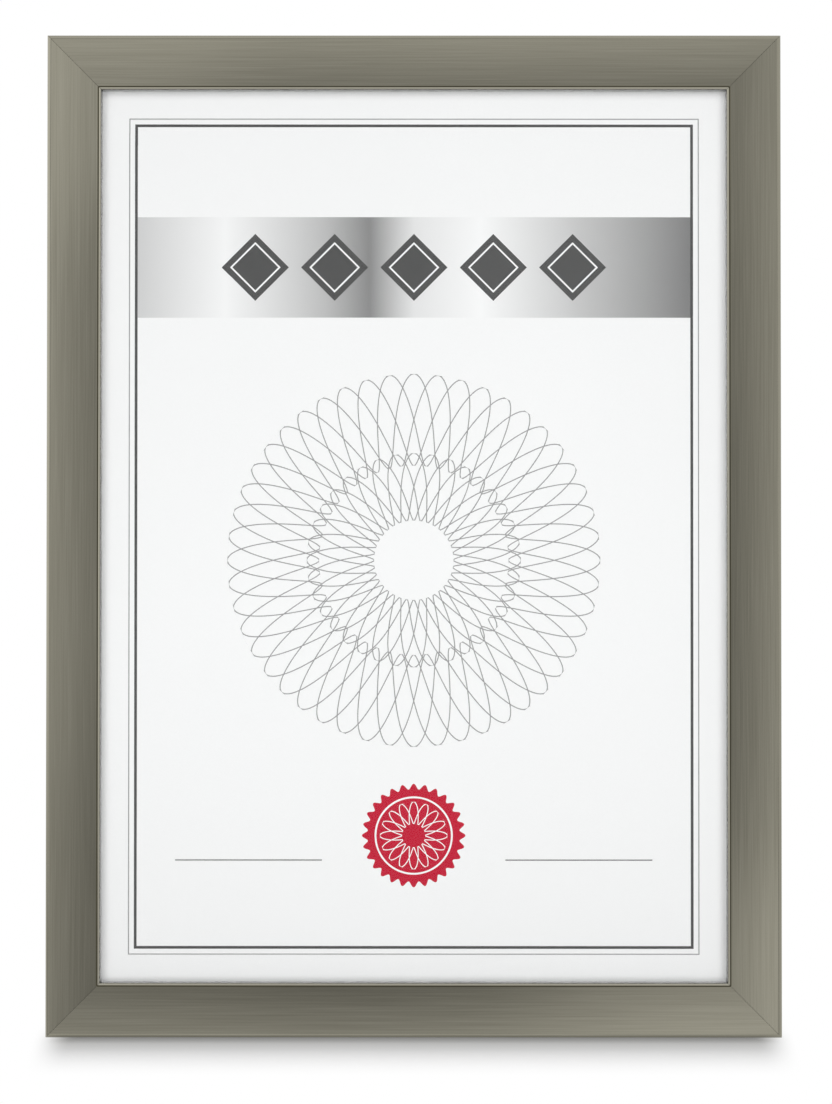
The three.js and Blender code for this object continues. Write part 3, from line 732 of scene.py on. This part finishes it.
def rivet_skin(low, high):
    """Domed head at the rear, then the shank and the flange towards the front."""
    under = low[2] + RIVET_HEAD
    flange = high[2] - RIVET_FLANGE_HEIGHT
    profile = dome((high[0] - low[0]) / 2, low[2], RIVET_HEAD)
    profile += [[RIVET_SHANK, under], [RIVET_SHANK, flange]]
    profile += [[RIVET_FLANGE, flange], [RIVET_FLANGE, high[2]]]
    return turned(profile)


for name in solids_of("rivet"):
    axes, body = (hanging, "strut_leg") if name.startswith("strut") else (standing, "frame")
    low, high = axes.reach(name)
    make_hardware(name, "set", [moved(rivet_skin(low, high), middle(low, high))], axes, body)

low, high = standing.reach("hinge_pin")
half_pin = high[0]
pin_head_radius = (high[1] - low[1]) / 2
one_end = dome(pin_head_radius, -half_pin, PIN_HEAD) + [[PIN_RADIUS, PIN_HEAD - half_pin]]
other_end = [[radius, -height] for radius, height in one_end[::-1]]
pin_place = pivot_at["strut_fold"]
make_hardware("hinge_pin", "turned", [moved(turned(one_end + other_end), pin_place, LIES_ACROSS)])
tally("rivets and pin:")

# %% [markdown]
# ## Turn buttons
# A turn button is a strip of sheet with round ends, free on its rivet, with a tab at the tail for a thumb.
# Its rings run round the strip and in to the rivet's hole. Each one is drawn along x and then turned to the
# side that its solid points to.

# %% Turn buttons
BUTTON_HALF_WIDTH = 4.0
BUTTON_TAIL = 7.3
BUTTON_TAB_HALF = 2.0
RIVET_CLEARANCE = 0.2
SHEET_EDGE = 0.25
ROUND_SPARE = 0.01


def button_skins(low_end):
    """A strip with round ends, pierced at the pivot, and the tab that stands up behind it."""
    tail_end, tip_end = (-BUTTON_TAIL, -BUTTON_HALF_WIDTH), (BUTTON_TIP, BUTTON_HALF_WIDTH)
    strip = box_outline(tail_end, tip_end, BUTTON_HALF_WIDTH - ROUND_SPARE)
    sheet_low = button_front - BUTTON_SHEET
    flat = pierced_plate(strip, RIVET_SHANK + RIVET_CLEARANCE, sheet_low, button_front, SHEET_EDGE)
    tab_left = BUTTON_SHEET - BUTTON_TAIL
    tab_right = tab_left + BUTTON_SHEET
    tab = box_outline((tab_left, -BUTTON_TAB_HALF), (tab_right, BUTTON_TAB_HALF), SHEET_EDGE)
    return [flat, plate(tab, low_end, button_front - BUTTON_SHEET / 2, SHEET_EDGE)]


for place in [name.removeprefix("turn_") for name in joints if name.startswith("turn_")]:
    node = "turn_button_" + place
    pivot = pivot_at["turn_" + place] * (1, 1, 0)
    low, high = standing.reach(node)
    towards = middle(low, high) - pivot
    x, y, _ = towards / np.linalg.norm(towards)
    turn = ((x, y, 0), (-y, x, 0), (0, 0, 1))
    skins = [moved(skin, pivot, turn) for skin in button_skins(low[2])]
    make_hardware(node, "pressed", skins, body="button_" + place)
tally("turn buttons:")

# %% [markdown]
# ## Sawtooth hangers
# A hanger is a strip that is raised in the middle, so that a nail can slip behind it, with teeth in one
# edge. It is a small rounded section carried along the strip: a smooth step raises it, and its lower edge
# follows the teeth.

# %% Hangers
HANGER_END = 9.0
HANGER_RAMP = 2.0
HANGER_CORNER = 2.0
HANGER_SHEET = 0.8
NOTCH_COUNT = 5
NOTCH_PITCH = 4.2
NOTCHES = (np.arange(NOTCH_COUNT) - NOTCH_COUNT // 2) * NOTCH_PITCH
NOTCH_DEPTH = 2.4
NOTCH_ROOT = 1.2
NOTCH_MOUTH = 3.2
DECIMALS_APART = 6
SIDEWAYS = ((0, 1, 0), (-1, 0, 0), (0, 0, 1))


def hanger_skin(length, height, rise, front):
    """Rings along the strip, which stands off by a smooth step on each side of the middle. Straight-sided
    notches cut its lower edge, and its corners are quarter circles."""
    half = length / 2
    swing = np.linspace(0, pi / 2, ARC_STEPS)
    ends = half - HANGER_CORNER + HANGER_CORNER * np.sin(swing)
    ramp = np.linspace(half - HANGER_END - HANGER_RAMP, half - HANGER_END, ARC_STEPS)
    tooth = np.array([-NOTCH_MOUTH, -NOTCH_ROOT, NOTCH_ROOT, NOTCH_MOUTH]) / 2
    teeth = (NOTCHES[:, None] + tooth).ravel()
    along = np.unique(np.concatenate([ends, -ends, ramp, -ramp, teeth]).round(DECIMALS_APART))
    share = np.clip((half - HANGER_END - abs(along)) / HANGER_RAMP, 0, 1)
    lift = rise * share * share * (3 - 2 * share)
    beside = abs(along[:, None] - NOTCHES)
    flank = (NOTCH_MOUTH - NOTCH_ROOT) / 2
    notch = NOTCH_DEPTH * np.clip((NOTCH_MOUTH / 2 - beside) / flank, 0, 1).max(1)
    over = np.clip(abs(along) - (half - HANGER_CORNER), 0, HANGER_CORNER)
    corner = HANGER_CORNER - np.sqrt(HANGER_CORNER ** 2 - over ** 2)
    ring = box_outline((0, 0), (height, HANGER_SHEET), SHEET_EDGE)
    upward = ring[None, :, 0] + (ring[:, 0] < height / 2) * notch[:, None]
    upward = np.clip(upward, corner[:, None], height - corner[:, None])
    depth = front - lift[:, None] - ring[None, :, 1]
    return loft(np.stack([np.broadcast_to(along[:, None], upward.shape), upward - height / 2, depth], 2))


low, high = standing.reach("hanger_upright")
hanger_size = high - low
hanger_rise = hanger_size[2] - HANGER_SHEET
for name, turn in {"hanger_upright": PLAIN, "hanger_sideways": SIDEWAYS}.items():
    low, high = standing.reach(name)
    skin = hanger_skin(hanger_size[0], hanger_size[1], hanger_rise, high[2])
    make_hardware(name, "pressed", [moved(skin, middle(low, high), turn)])
tally("hangers:")

# %% [markdown]
# ## Hinge plate and strut bracket
# Both halves of the hinge are folded sheet: a flat web, and an ear at each side that the pin goes through.
# The webs are plates with soft rims, and the ears are pierced plates stood on edge, so the pin shows in real
# holes.

# %% Hinge
PIN_CLEARANCE = 0.15
EAR_RADIUS = 3.4
EAR_CORNER = 0.4
EAR_LIP = 0.6
PLATE_CORNER = 3.0
BRACKET_LENGTH = 22.0
BRACKET_CORNER = 1.5
NECK_ROUND = 0.6
TAIL_HALF = 10.0
TAIL_CORNER = 2.0
HEAD_DROP = 3.6
STRUT_HALF = 1.5
ON_EDGE = ((0, 0, -1), (0, 1, 0), (1, 0, 0))


def ears(outline, half_width, place):
    """Two pierced plates on edge, their outer faces half_width to the left and right of a place."""
    hole = PIN_RADIUS + PIN_CLEARANCE
    right = pierced_plate(outline, hole, half_width - HANGER_SHEET, half_width, SHEET_EDGE)
    left = pierced_plate(outline, hole, -half_width, HANGER_SHEET - half_width, SHEET_EDGE)
    return [moved(side, place, ON_EDGE) for side in (right, left)]


low, high = standing.reach("hinge_plate")
web = plate(box_outline(low, high, PLATE_CORNER), high[2] - HANGER_SHEET, high[2], SHEET_EDGE)
root = pin_place[2] - high[2]
round_ear = EAR_RADIUS - ROUND_SPARE
ear = rounded([
    [root, -EAR_RADIUS, SHEET_EDGE], [EAR_RADIUS, -EAR_RADIUS, round_ear],
    [EAR_RADIUS, EAR_RADIUS, round_ear], [root, EAR_RADIUS, SHEET_EDGE],
])
make_hardware("hinge_plate", "folded", [web] + ears(ear, high[0], pin_place))

low, high = hanging.reach("strut_bracket")
wide, tail, behind = high[0], high[1], -low[2]
web = plate(rounded([
    [-wide, -BRACKET_LENGTH, BRACKET_CORNER], [wide, -BRACKET_LENGTH, BRACKET_CORNER],
    [wide, 0, NECK_ROUND], [TAIL_HALF, 0, NECK_ROUND],
    [TAIL_HALF, tail, TAIL_CORNER], [-TAIL_HALF, tail, TAIL_CORNER],
    [-TAIL_HALF, 0, NECK_ROUND], [-wide, 0, NECK_ROUND],
]), low[2], low[2] + HANGER_SHEET, SHEET_EDGE)
round_ear = behind - ROUND_SPARE
ear = rounded([
    [-STRUT_HALF, -BRACKET_LENGTH, EAR_CORNER], [behind, -BRACKET_LENGTH, EAR_CORNER],
    [behind, behind, round_ear], [-behind, behind, round_ear],
    [-behind, -EAR_LIP, NECK_ROUND], [-STRUT_HALF, -HEAD_DROP, EAR_CORNER],
])
make_hardware("strut_bracket", "folded", [web] + ears(ear, wide, (0, 0, 0)), hanging, "strut_leg")
tally("hinge:")

# %% [markdown]
# ## Hardboard
# The back and the strut are pressed wood fibre. The surface is a mat of short brown fibres with darker
# flecks, and the rear face carries the print of the wire screen that it was pressed on. Noise gives the
# fibres, two crossed waves give the screen, and the coordinates follow each board's own slope.

# %% Hardboard finish
BOARD_DARK = colour(92, 62, 40)
BOARD_LIGHT = colour(146, 106, 72)
FLECK = colour(58, 38, 25)
FIBRE_MAT = (0.5, 0.9, 0.5, 6)
FIBRE = (2.2, 0.35, 1.0, 3)
SPECK = (1.1, 1.1, 1.1, 1)
SCREEN_PITCH = 1.4
MAT_TINT, FIBRE_TINT, SCREEN_TINT = 1.6, 0.9, 0.05
MAT_HEIGHT, FIBRE_HEIGHT, SCREEN_HEIGHT = 0.5, 0.6, 0.4
FLECK_ABOVE, FLECK_SHARE = 0.68, 0.7
BOARD_ROUGH, FIBRE_ROUGH = 0.62, 0.25
BOARD_RELIEF = (0.35, 0.15)


def hardboard(wire, axes):
    """Matted fibres, dark flecks and the print of a wire screen, on a board's own axes in millimetres."""
    place = on_axes(wire, axes)
    mat = stretched_noise(wire, place, FIBRE_MAT)
    fibre = stretched_noise(wire, place, FIBRE)
    speck = stretched_noise(wire, place, SPECK)
    waves = [(part * (2 * pi / SCREEN_PITCH)).math("SINE") for part in across_and_up(wire, place)]
    screen = waves[0] * waves[1]
    tone = 0.5 + (mat - 0.5) * MAT_TINT + (fibre - 0.5) * FIBRE_TINT + screen * SCREEN_TINT
    flecked = (speck > FLECK_ABOVE) * FLECK_SHARE
    tint = flecked.blend(tone.blend(BOARD_DARK, BOARD_LIGHT), FLECK)
    height = screen * SCREEN_HEIGHT + fibre * FIBRE_HEIGHT + mat * MAT_HEIGHT
    return coat(wire, tint, BOARD_ROUGH + fibre * FIBRE_ROUGH, height, BOARD_RELIEF)


board_finish = new_finish("hardboard_back", hardboard, standing)
strut_finish = new_finish("hardboard_strut", hardboard, hanging)

# %% [markdown]
# ## Back board and strut
# Both are cut boards with a slightly worn rim. The strut widens towards its foot, and the foot is cut level
# with the floor when the strut stands open, so its last points slide with the depth of the board.

# %% Boards
BOARD_EDGE = 0.35
BOARD_CORNER = 1.0
STRUT_SHOULDER = 26.0
SHOULDER_ROUND = 4.0
STRUT_HEAD_HALF = 17.0
FOOT_CORNER = 2.0


def slab(node, corner, edge):
    """A board, sheet or pane: a rectangular plate that fills the box of its solid."""
    low, high = standing.reach(node)
    return plate(box_outline(low, high, corner), low[2], high[2], edge)


board = slab("back_board", BOARD_CORNER, BOARD_EDGE)
make_piece("back_board", "cut", [board], board_finish)

low, high = hanging.reach("strut")
foot_slope = tan(strut_open - atan2(up[1], up[2]))
foot = low[1] + STRUT_HALF * foot_slope
outline = rounded([
    [low[0], foot, FOOT_CORNER], [high[0], foot, FOOT_CORNER],
    [STRUT_HEAD_HALF, -STRUT_SHOULDER, SHOULDER_ROUND], [STRUT_HEAD_HALF, -HEAD_DROP, BOARD_CORNER],
    [-STRUT_HEAD_HALF, -HEAD_DROP, BOARD_CORNER], [-STRUT_HEAD_HALF, -STRUT_SHOULDER, SHOULDER_ROUND],
])
points, quads, caps = plate(outline, low[2], high[2], BOARD_EDGE)
points[:, 1] += np.where(points[:, 1] < foot + FOOT_CORNER, points[:, 2] * foot_slope, 0)
make_piece("strut", "cut", [(points, quads, caps)], strut_finish, hanging, "strut_leg")
tally("boards:")

# %% [markdown]
# ## The printed sheet
# The insert is white paper with a blank certificate printed on it: a ruled border, a silver band with a
# string of lozenges, a rosette of crossing loops, and a scalloped seal between two lines to write on. Ink
# has no thickness, so the print is colour only, worked out by formula from the distance across and up.

# %% Ink shapes
NEARLY_ONE = 0.9999


def stripe(distance, width):
    """Ink where a distance is within half a line's width."""
    return abs(distance) < width / 2


def rosette(x, y, radius, swing, lobes, strands, width):
    """Strands that sway in and out round a circle: strand k lies at radius + swing cos(lobes angle + its
    phase). The phase that would pass through a point is known on the way in and on the way out, so the
    distance to the nearest strand is the rest to the nearest whole phase, over how fast it changes there."""
    far = (x * x + y * y).math("SQRT")
    angle = y.math("ARCTAN2", x)
    share = ((far - radius) / swing).math("MINIMUM", NEARLY_ONE).math("MAXIMUM", -NEARLY_ONE)
    leaning = share.math("ARCCOSINE")
    steep = 1 / (leaning.math("SINE") * swing)
    rate = ((lobes / far) * (lobes / far) + steep * steep).math("SQRT")
    drawn = []
    for way in (1, -1):
        phase = (angle * lobes + leaning * way) * (strands / (2 * pi))
        rest = phase.math("PINGPONG", 0.5) * (2 * pi / strands)
        drawn.append((rest / rate) < width / 2)
    return drawn[0].math("MAXIMUM", drawn[1]) * (abs(far - radius) < swing)


def lozenges(x, y, pitch, half):
    """Diamonds in a row: the distance to the nearest multiple of the pitch, and the height, as shares of the
    half diagonal, add up to less than 1 inside. Returns that sum."""
    beside = abs((x + pitch / 2).math("FLOORED_MODULO", pitch) - pitch / 2)
    return beside / half + abs(y) / half


print("ink shapes ready")

# %% Paper and print
PAPER_WHITE = colour(250, 250, 250)
PAPER_SHADE = colour(246, 246, 246)
INK_DARK = colour(74, 74, 74)
INK_GREY = colour(150, 150, 150)
INK_RED = colour(190, 0, 45)
SILVER = (
    (0, 0.62), (0.16, 0.93), (0.34, 0.5), (0.42, 0.24), (0.5, 0.78), (0.62, 0.95), (0.8, 0.55), (1, 0.2),
)
BORDER_ACROSS, BORDER_UP, BORDER_LINE = 91.0, 134.5, 0.9
FINE_LINE, FINE_LINE_OUT = 0.35, 2.2
BAND_UP, BAND_HALF = 88.0, 16.5
LOZENGES, LOZENGE_PITCH, LOZENGE_HALF = 5, 26.0, 11.0
INLAY_AT, INLAY_LINE = 0.72, 0.07
ROSETTE_UP = -8.0
OUTER_LOOPS = (46, 15, 12, 4, 0.34)
INNER_LOOPS = (24, 11, 9, 4, 0.34)
SEAL_UP, SEAL_RADIUS, SEAL_SCALLOP, SEAL_LOBES = -98.0, 16.0, 0.9, 28
SEAL_RING_AT, SEAL_RING_LINE = 0.78, 0.6
SEAL_PETALS = (7.4, 3.6, 8, 2, 0.3)
RULE_UP, RULE_NEAR, RULE_FAR = -106.0, 30.0, 78.0
PAPER_FIBRE = (1.5, 1.5, 1.5, 4)
PAPER_ROUGH, PAPER_FIBRE_ROUGH = 0.55, 0.2
PAPER_RELIEF = (0.05, 0.02)
PAPER_CORNER, PAPER_EDGE = 0.0, 0.05


def silver_sheen(share):
    """Greys that change along the band, by a colour ramp whose stops are a place and a level each."""
    sheen = share.node("ValToRGB", None, {"Fac": share})
    ramp = sheen.socket.node.color_ramp
    for _ in range(len(SILVER) - len(ramp.elements)):
        ramp.elements.new(1)
    for element, (place, grey) in zip(ramp.elements, SILVER):
        element.position = place
        element.color = (grey, grey, grey, 1)
    return sheen


def printed_paper(wire):
    """Paper with a faint fibre, then each ink laid over what is already there."""
    low, high = standing.reach("insert_sheet")
    place = on_axes(wire, standing, (low + high) / 2)
    x, y = across_and_up(wire, place)
    fibre = stretched_noise(wire, place, PAPER_FIBRE)
    tint = fibre.blend(PAPER_WHITE, PAPER_SHADE)

    inside = (abs(x) < BORDER_ACROSS) * (abs(y) < BORDER_UP)
    from_band = y - BAND_UP
    band = (abs(from_band) < BAND_HALF) * inside
    tint = band.blend(tint, silver_sheen(x / (2 * BORDER_ACROSS) + 0.5))
    diamond = lozenges(x, from_band, LOZENGE_PITCH, LOZENGE_HALF)
    in_row = abs(x) < LOZENGES / 2 * LOZENGE_PITCH
    tint = ((diamond < 1) * in_row).blend(tint, INK_DARK)
    tint = (stripe(diamond - INLAY_AT, INLAY_LINE) * in_row).blend(tint, PAPER_SHADE)

    loops = rosette(x, y - ROSETTE_UP, *OUTER_LOOPS)
    loops = loops.math("MAXIMUM", rosette(x, y - ROSETTE_UP, *INNER_LOOPS))
    tint = loops.blend(tint, INK_GREY)

    edge = (abs(x) - BORDER_ACROSS).math("MAXIMUM", abs(y) - BORDER_UP)
    tint = stripe(edge, BORDER_LINE).blend(tint, INK_DARK)
    tint = stripe(edge - FINE_LINE_OUT, FINE_LINE).blend(tint, INK_GREY)
    beside_rule = abs(abs(x) - (RULE_NEAR + RULE_FAR) / 2)
    rules = stripe(y - RULE_UP, FINE_LINE) * (beside_rule < (RULE_FAR - RULE_NEAR) / 2)
    tint = rules.blend(tint, INK_DARK)

    from_seal = y - SEAL_UP
    out = (x * x + from_seal * from_seal).math("SQRT")
    wave = (from_seal.math("ARCTAN2", x) * SEAL_LOBES).math("COSINE") * SEAL_SCALLOP
    tint = ((out - wave) < SEAL_RADIUS).blend(tint, INK_RED)
    tint = stripe(out - SEAL_RING_AT * SEAL_RADIUS, SEAL_RING_LINE).blend(tint, PAPER_WHITE)
    tint = rosette(x, from_seal, *SEAL_PETALS).blend(tint, PAPER_WHITE)
    return coat(wire, tint, PAPER_ROUGH + fibre * PAPER_FIBRE_ROUGH, fibre, PAPER_RELIEF)


paper = new_finish("insert_paper", printed_paper)
sheet = slab("insert_sheet", PAPER_CORNER, PAPER_EDGE)
make_piece("insert_sheet", "printed", [sheet], paper)
tally("sheet:")

# %% [markdown]
# ## Glass
# The pane is clear float glass with ground edges. A true glass shader bends light, and the renderer then
# finds it hard to light the paper behind. Rays that only carry light are therefore let straight through, and
# rays that are seen still get the bend and the reflection.

# %% Glass pane
GLASS_TINT = colour(254, 255, 255)
LOW_GLARE = (0.3, 0.3, 0.3, 1.0)
GLASS_BEND = 1.5
WIPED = (14, 40, 40, 3)
WIPED_ROUGH = 0.03
GROUND_EDGE = 0.3
GLASS_CORNER = 0.5


def ray(wire, kind):
    """1 for rays of a kind and 0 for others."""
    return wire.node("LightPath", output=f"Is {kind} Ray")


def clear_glass(wire):
    """Glass to the eye, with a trace of wiping in its gloss, and nothing to shadow and diffuse rays."""
    own = wire.node("TexCoord", output="Object")
    wiped = stretched_noise(wire, own, WIPED)
    seen = wire.node("BsdfPrincipled", None, {
        "Base Color": GLASS_TINT,
        "Roughness": wiped * WIPED_ROUGH,
        "IOR": GLASS_BEND,
        "Specular Tint": LOW_GLARE,
        "Transmission Weight": 1.0,
    })
    clear = wire.node("BsdfTransparent")
    carries_light = ray(wire, "Shadow").math("MAXIMUM", ray(wire, "Diffuse"))
    return wire.node("MixShader", None, {0: carries_light, 1: seen, 2: clear})


glass = new_finish("clear_glass", clear_glass)
pane = slab("glass_pane", GLASS_CORNER, GROUND_EDGE)
make_piece("glass_pane", "ground", [pane], glass)
tally("glass:")

# %% [markdown]
# ## Floor
# The frame stands on plain white with a short soft shadow under its lower edge. The floor is a white disc
# that takes the shadow. Round the frame's footprint it passes into even white, so the eye finds no edge
# further out. Only the camera sees the near part as white: to metal, glass and carried light it is a darker
# card, which keeps the frame's lower edge dark and the light from below weak.

# %% Floor
FLOOR_RADIUS = 0.7
FLOOR_POINTS = 96
WHITE = (1, 1, 1, 1)
FLOOR_WHITE = colour(223, 223, 223)
FLOOR_CARD = colour(155, 155, 155)
FADE_SIDES = (0.112, 0.125)
FADE_FRONT = (0.030, 0.075)
FADE_REAR = (0.045, 0.13)
REARWARD = (-0.045, 0.0)
REAR_INSET = 0.07


def smooth_step(value, low, high):
    """0 below low, 1 above high, and a smooth rise between them."""
    inputs = {"Value": value, "From Min": low, "From Max": high}
    return value.node("MapRange", {"interpolation_type": "SMOOTHSTEP"}, inputs)


def seen_rays(wire):
    """1 for the rays that the camera, metal or glass sees by, and 0 for those that only carry light."""
    glossy, through = ray(wire, "Glossy"), ray(wire, "Transmission")
    return ray(wire, "Camera").math("MAXIMUM", glossy).math("MAXIMUM", through)


def floor_paper(wire):
    """Paper or card that shades near the frame, and even white further out to rays that are seen."""
    x, y = across_and_up(wire, wire.node("TexCoord", output="Object"))
    inner = FADE_SIDES[0] - smooth_step(y, *REARWARD) * REAR_INSET
    beside = 1 - smooth_step((abs(x) - inner) / (FADE_SIDES[1] - inner), 0, 1)
    before_it = 1 - smooth_step(y * -1, *FADE_FRONT)
    behind_it = 1 - smooth_step(y, *FADE_REAR)
    near = beside * before_it * behind_it
    to_camera = wire.node("BsdfDiffuse", None, {"Color": FLOOR_WHITE})
    to_others = wire.node("BsdfDiffuse", None, {"Color": FLOOR_CARD})
    white = wire.node("Emission", None, {"Color": WHITE, "Strength": 1.0})
    ground = wire.node("MixShader", None, {0: ray(wire, "Camera"), 1: to_others, 2: to_camera})
    return wire.node("MixShader", None, {0: (1 - near) * seen_rays(wire), 1: ground, 2: white})


angle = np.linspace(0, 2 * pi, FLOOR_POINTS, endpoint=False)
disc = FLOOR_RADIUS * np.column_stack([np.cos(angle), np.sin(angle), np.zeros(FLOOR_POINTS)])
floor_mesh = bpy.data.meshes.new("floor")
floor_mesh.from_pydata(disc.tolist(), [], [list(range(FLOOR_POINTS))])
floor_mesh.materials.append(new_finish("floor_paper", floor_paper))
floor = bpy.data.objects.new("floor", floor_mesh)
scene.collection.objects.link(floor)
print("floor disc", FLOOR_RADIUS, "m")

# %% [markdown]
# ## What the metal mirrors
# Smooth metal shows what it mirrors, tinted by its own colour. Panels could stand round the frame, but a
# world written by direction needs no objects. It is brightest straight ahead and dims with the angle. Two
# soft boxes, upper right and lower left, brighten the frame's other two corners, and a panel, a shade, a
# dark cloth and a table tone the rest. Further round, where only the outer rims look, it is paler above than
# below, most of all on the left.

# %% World
AHEAD_LEVEL = 1.0
FALL_PER_DEGREE = 0.026
RIGHT_SIDE_LIFT = 0.15
AHEAD_WITHIN = (22, 26)
TO_SIDE = (0.11, 0.14)
TO_END = (0.03, 0.07)
END_SHARE = 0.74
UPPER_RIGHT_BOX = ((0.0, 0.08), (0.1, 0.135), 0.4)
LOWER_LEFT_BOX = ((0.04, 0.07), (0.06, 0.095), 0.39)
PANEL_SIDE = (0.03, 0.09)
PANEL_RISE = (0.04, 0.14)
UPPER_LEFT_PANEL = 0.13
SHADE_RISE = (0.025, 0.055)
LOWER_RIGHT_SHADE = 0.13
CLOTH_SIDE = (0.02, 0.09)
DARK_CLOTH = 0.16
TABLE_SIDE = (-0.035, -0.01)
PALE_TABLE = 0.03
DIM_TABLE = -0.06
FAR_LOW = 0.6
FAR_HIGH = 1.0
FAR_RISE = (-0.6, 0.2)
FAR_LEFT_LOW = -0.45
FAR_LEFT_HIGH = 0.4
FAR_LEFT_RISE = (-0.13, 0.0)
ROOM_FRONT = 0.05
ROOM_BEHIND = 0.9
ROOM_WITHIN = (75, 115)


def graded(share, low, high):
    """A level that goes from low to high with a share: low + share (high - low)."""
    return low + share * (high - low)


def studio():
    """White to the camera, a studio to metal and glass, and a soft room to everything else. Each soft box
    holds where it starts along the side, where it starts towards the end, and its strength."""
    world = bpy.data.worlds.new("studio")
    wire = empty_tree(world)
    looking = wire.node("TexCoord", output="Generated")

    def along(direction):
        """Cosine between the ray and a direction."""
        settings = {"operation": "DOT_PRODUCT"}
        return wire.node("VectorMath", settings, {0: looking, 1: direction.tolist()}, "Value")

    def within(angles):
        """1 inside the first angle from straight ahead, fading to 0 at the second."""
        return smooth_step(ahead, cos(radians(angles[1])), cos(radians(angles[0])))

    ahead, rise, side = along(-back), along(up), along(ACROSS)
    off = ahead.math("MINIMUM", 1.0).math("ARCCOSINE") * (180 / pi)
    level = AHEAD_LEVEL - off * FALL_PER_DEGREE + side * RIGHT_SIDE_LIFT
    leftward, fall = side * -1, rise * -1
    right, left = smooth_step(side, *TO_SIDE), smooth_step(leftward, *TO_SIDE)
    above, below = smooth_step(rise, *TO_END), smooth_step(fall, *TO_END)
    boxes = ((right, above, side, rise, UPPER_RIGHT_BOX), (left, below, leftward, fall, LOWER_LEFT_BOX))
    for flank, end, beside, over, (from_side, from_end, strength) in boxes:
        at_end = (1 - flank) * end * smooth_step(beside, *from_side) * END_SHARE
        level = level + (flank * smooth_step(over, *from_end) + at_end) * strength
    panel = smooth_step(leftward, *PANEL_SIDE) * smooth_step(rise, *PANEL_RISE)
    shade = right * smooth_step(fall, *SHADE_RISE)
    level = level + panel * UPPER_LEFT_PANEL - shade * LOWER_RIGHT_SHADE
    between = (1 - right) * (1 - left)
    cloth = between * above * (1 - smooth_step(side, *CLOTH_SIDE)) * DARK_CLOTH
    table = graded(smooth_step(side, *TABLE_SIDE), DIM_TABLE, PALE_TABLE)
    level = level - cloth + table * between * below
    far = graded(smooth_step(rise, *FAR_RISE), FAR_LOW, FAR_HIGH)
    lift = graded(smooth_step(rise, *FAR_LEFT_RISE), FAR_LEFT_LOW, FAR_LEFT_HIGH)
    far = far - side.math("MINIMUM", 0) * lift
    mirrored = graded(within(AHEAD_WITHIN), far, level)
    room = graded(within(ROOM_WITHIN), ROOM_BEHIND, ROOM_FRONT)
    others = graded(seen_rays(wire), room, mirrored)
    shown = graded(ray(wire, "Camera"), others, 1)
    sky = wire.node("Background", None, {"Color": WHITE, "Strength": shown})
    wire.node("OutputWorld", None, {"Surface": sky})
    return world


scene.world = studio()
print("world has", len(scene.world.node_tree.nodes), "nodes")

# %% [markdown]
# ## The light on the paper
# The paper is lit squarely by one large round soft box, so each rail throws the same narrow shadow onto the
# sheet. The lamp is hidden from mirrors, because the world already holds what the metal should show.

# %% Lamp
LAMP_DISTANCE = 1.6
LAMP_SIZE = 1.6
LAMP_POWER = 28.9

lamp_data = bpy.data.lights.new("front_soft_box", "AREA")
lamp_data.shape = "DISK"
lamp_data.size = LAMP_SIZE
lamp_data.energy = LAMP_POWER
lamp = bpy.data.objects.new("front_soft_box", lamp_data)
lamp.location = standing.to_model(np.array([0, frame_height / 2, LAMP_DISTANCE / MM]))
lamp.rotation_euler = (atan2(back[1], -back[2]), 0, 0)
lamp.visible_camera = False
lamp.visible_glossy = False
lamp.visible_transmission = False
scene.collection.objects.link(lamp)
print("lamp of", LAMP_POWER, "watts")
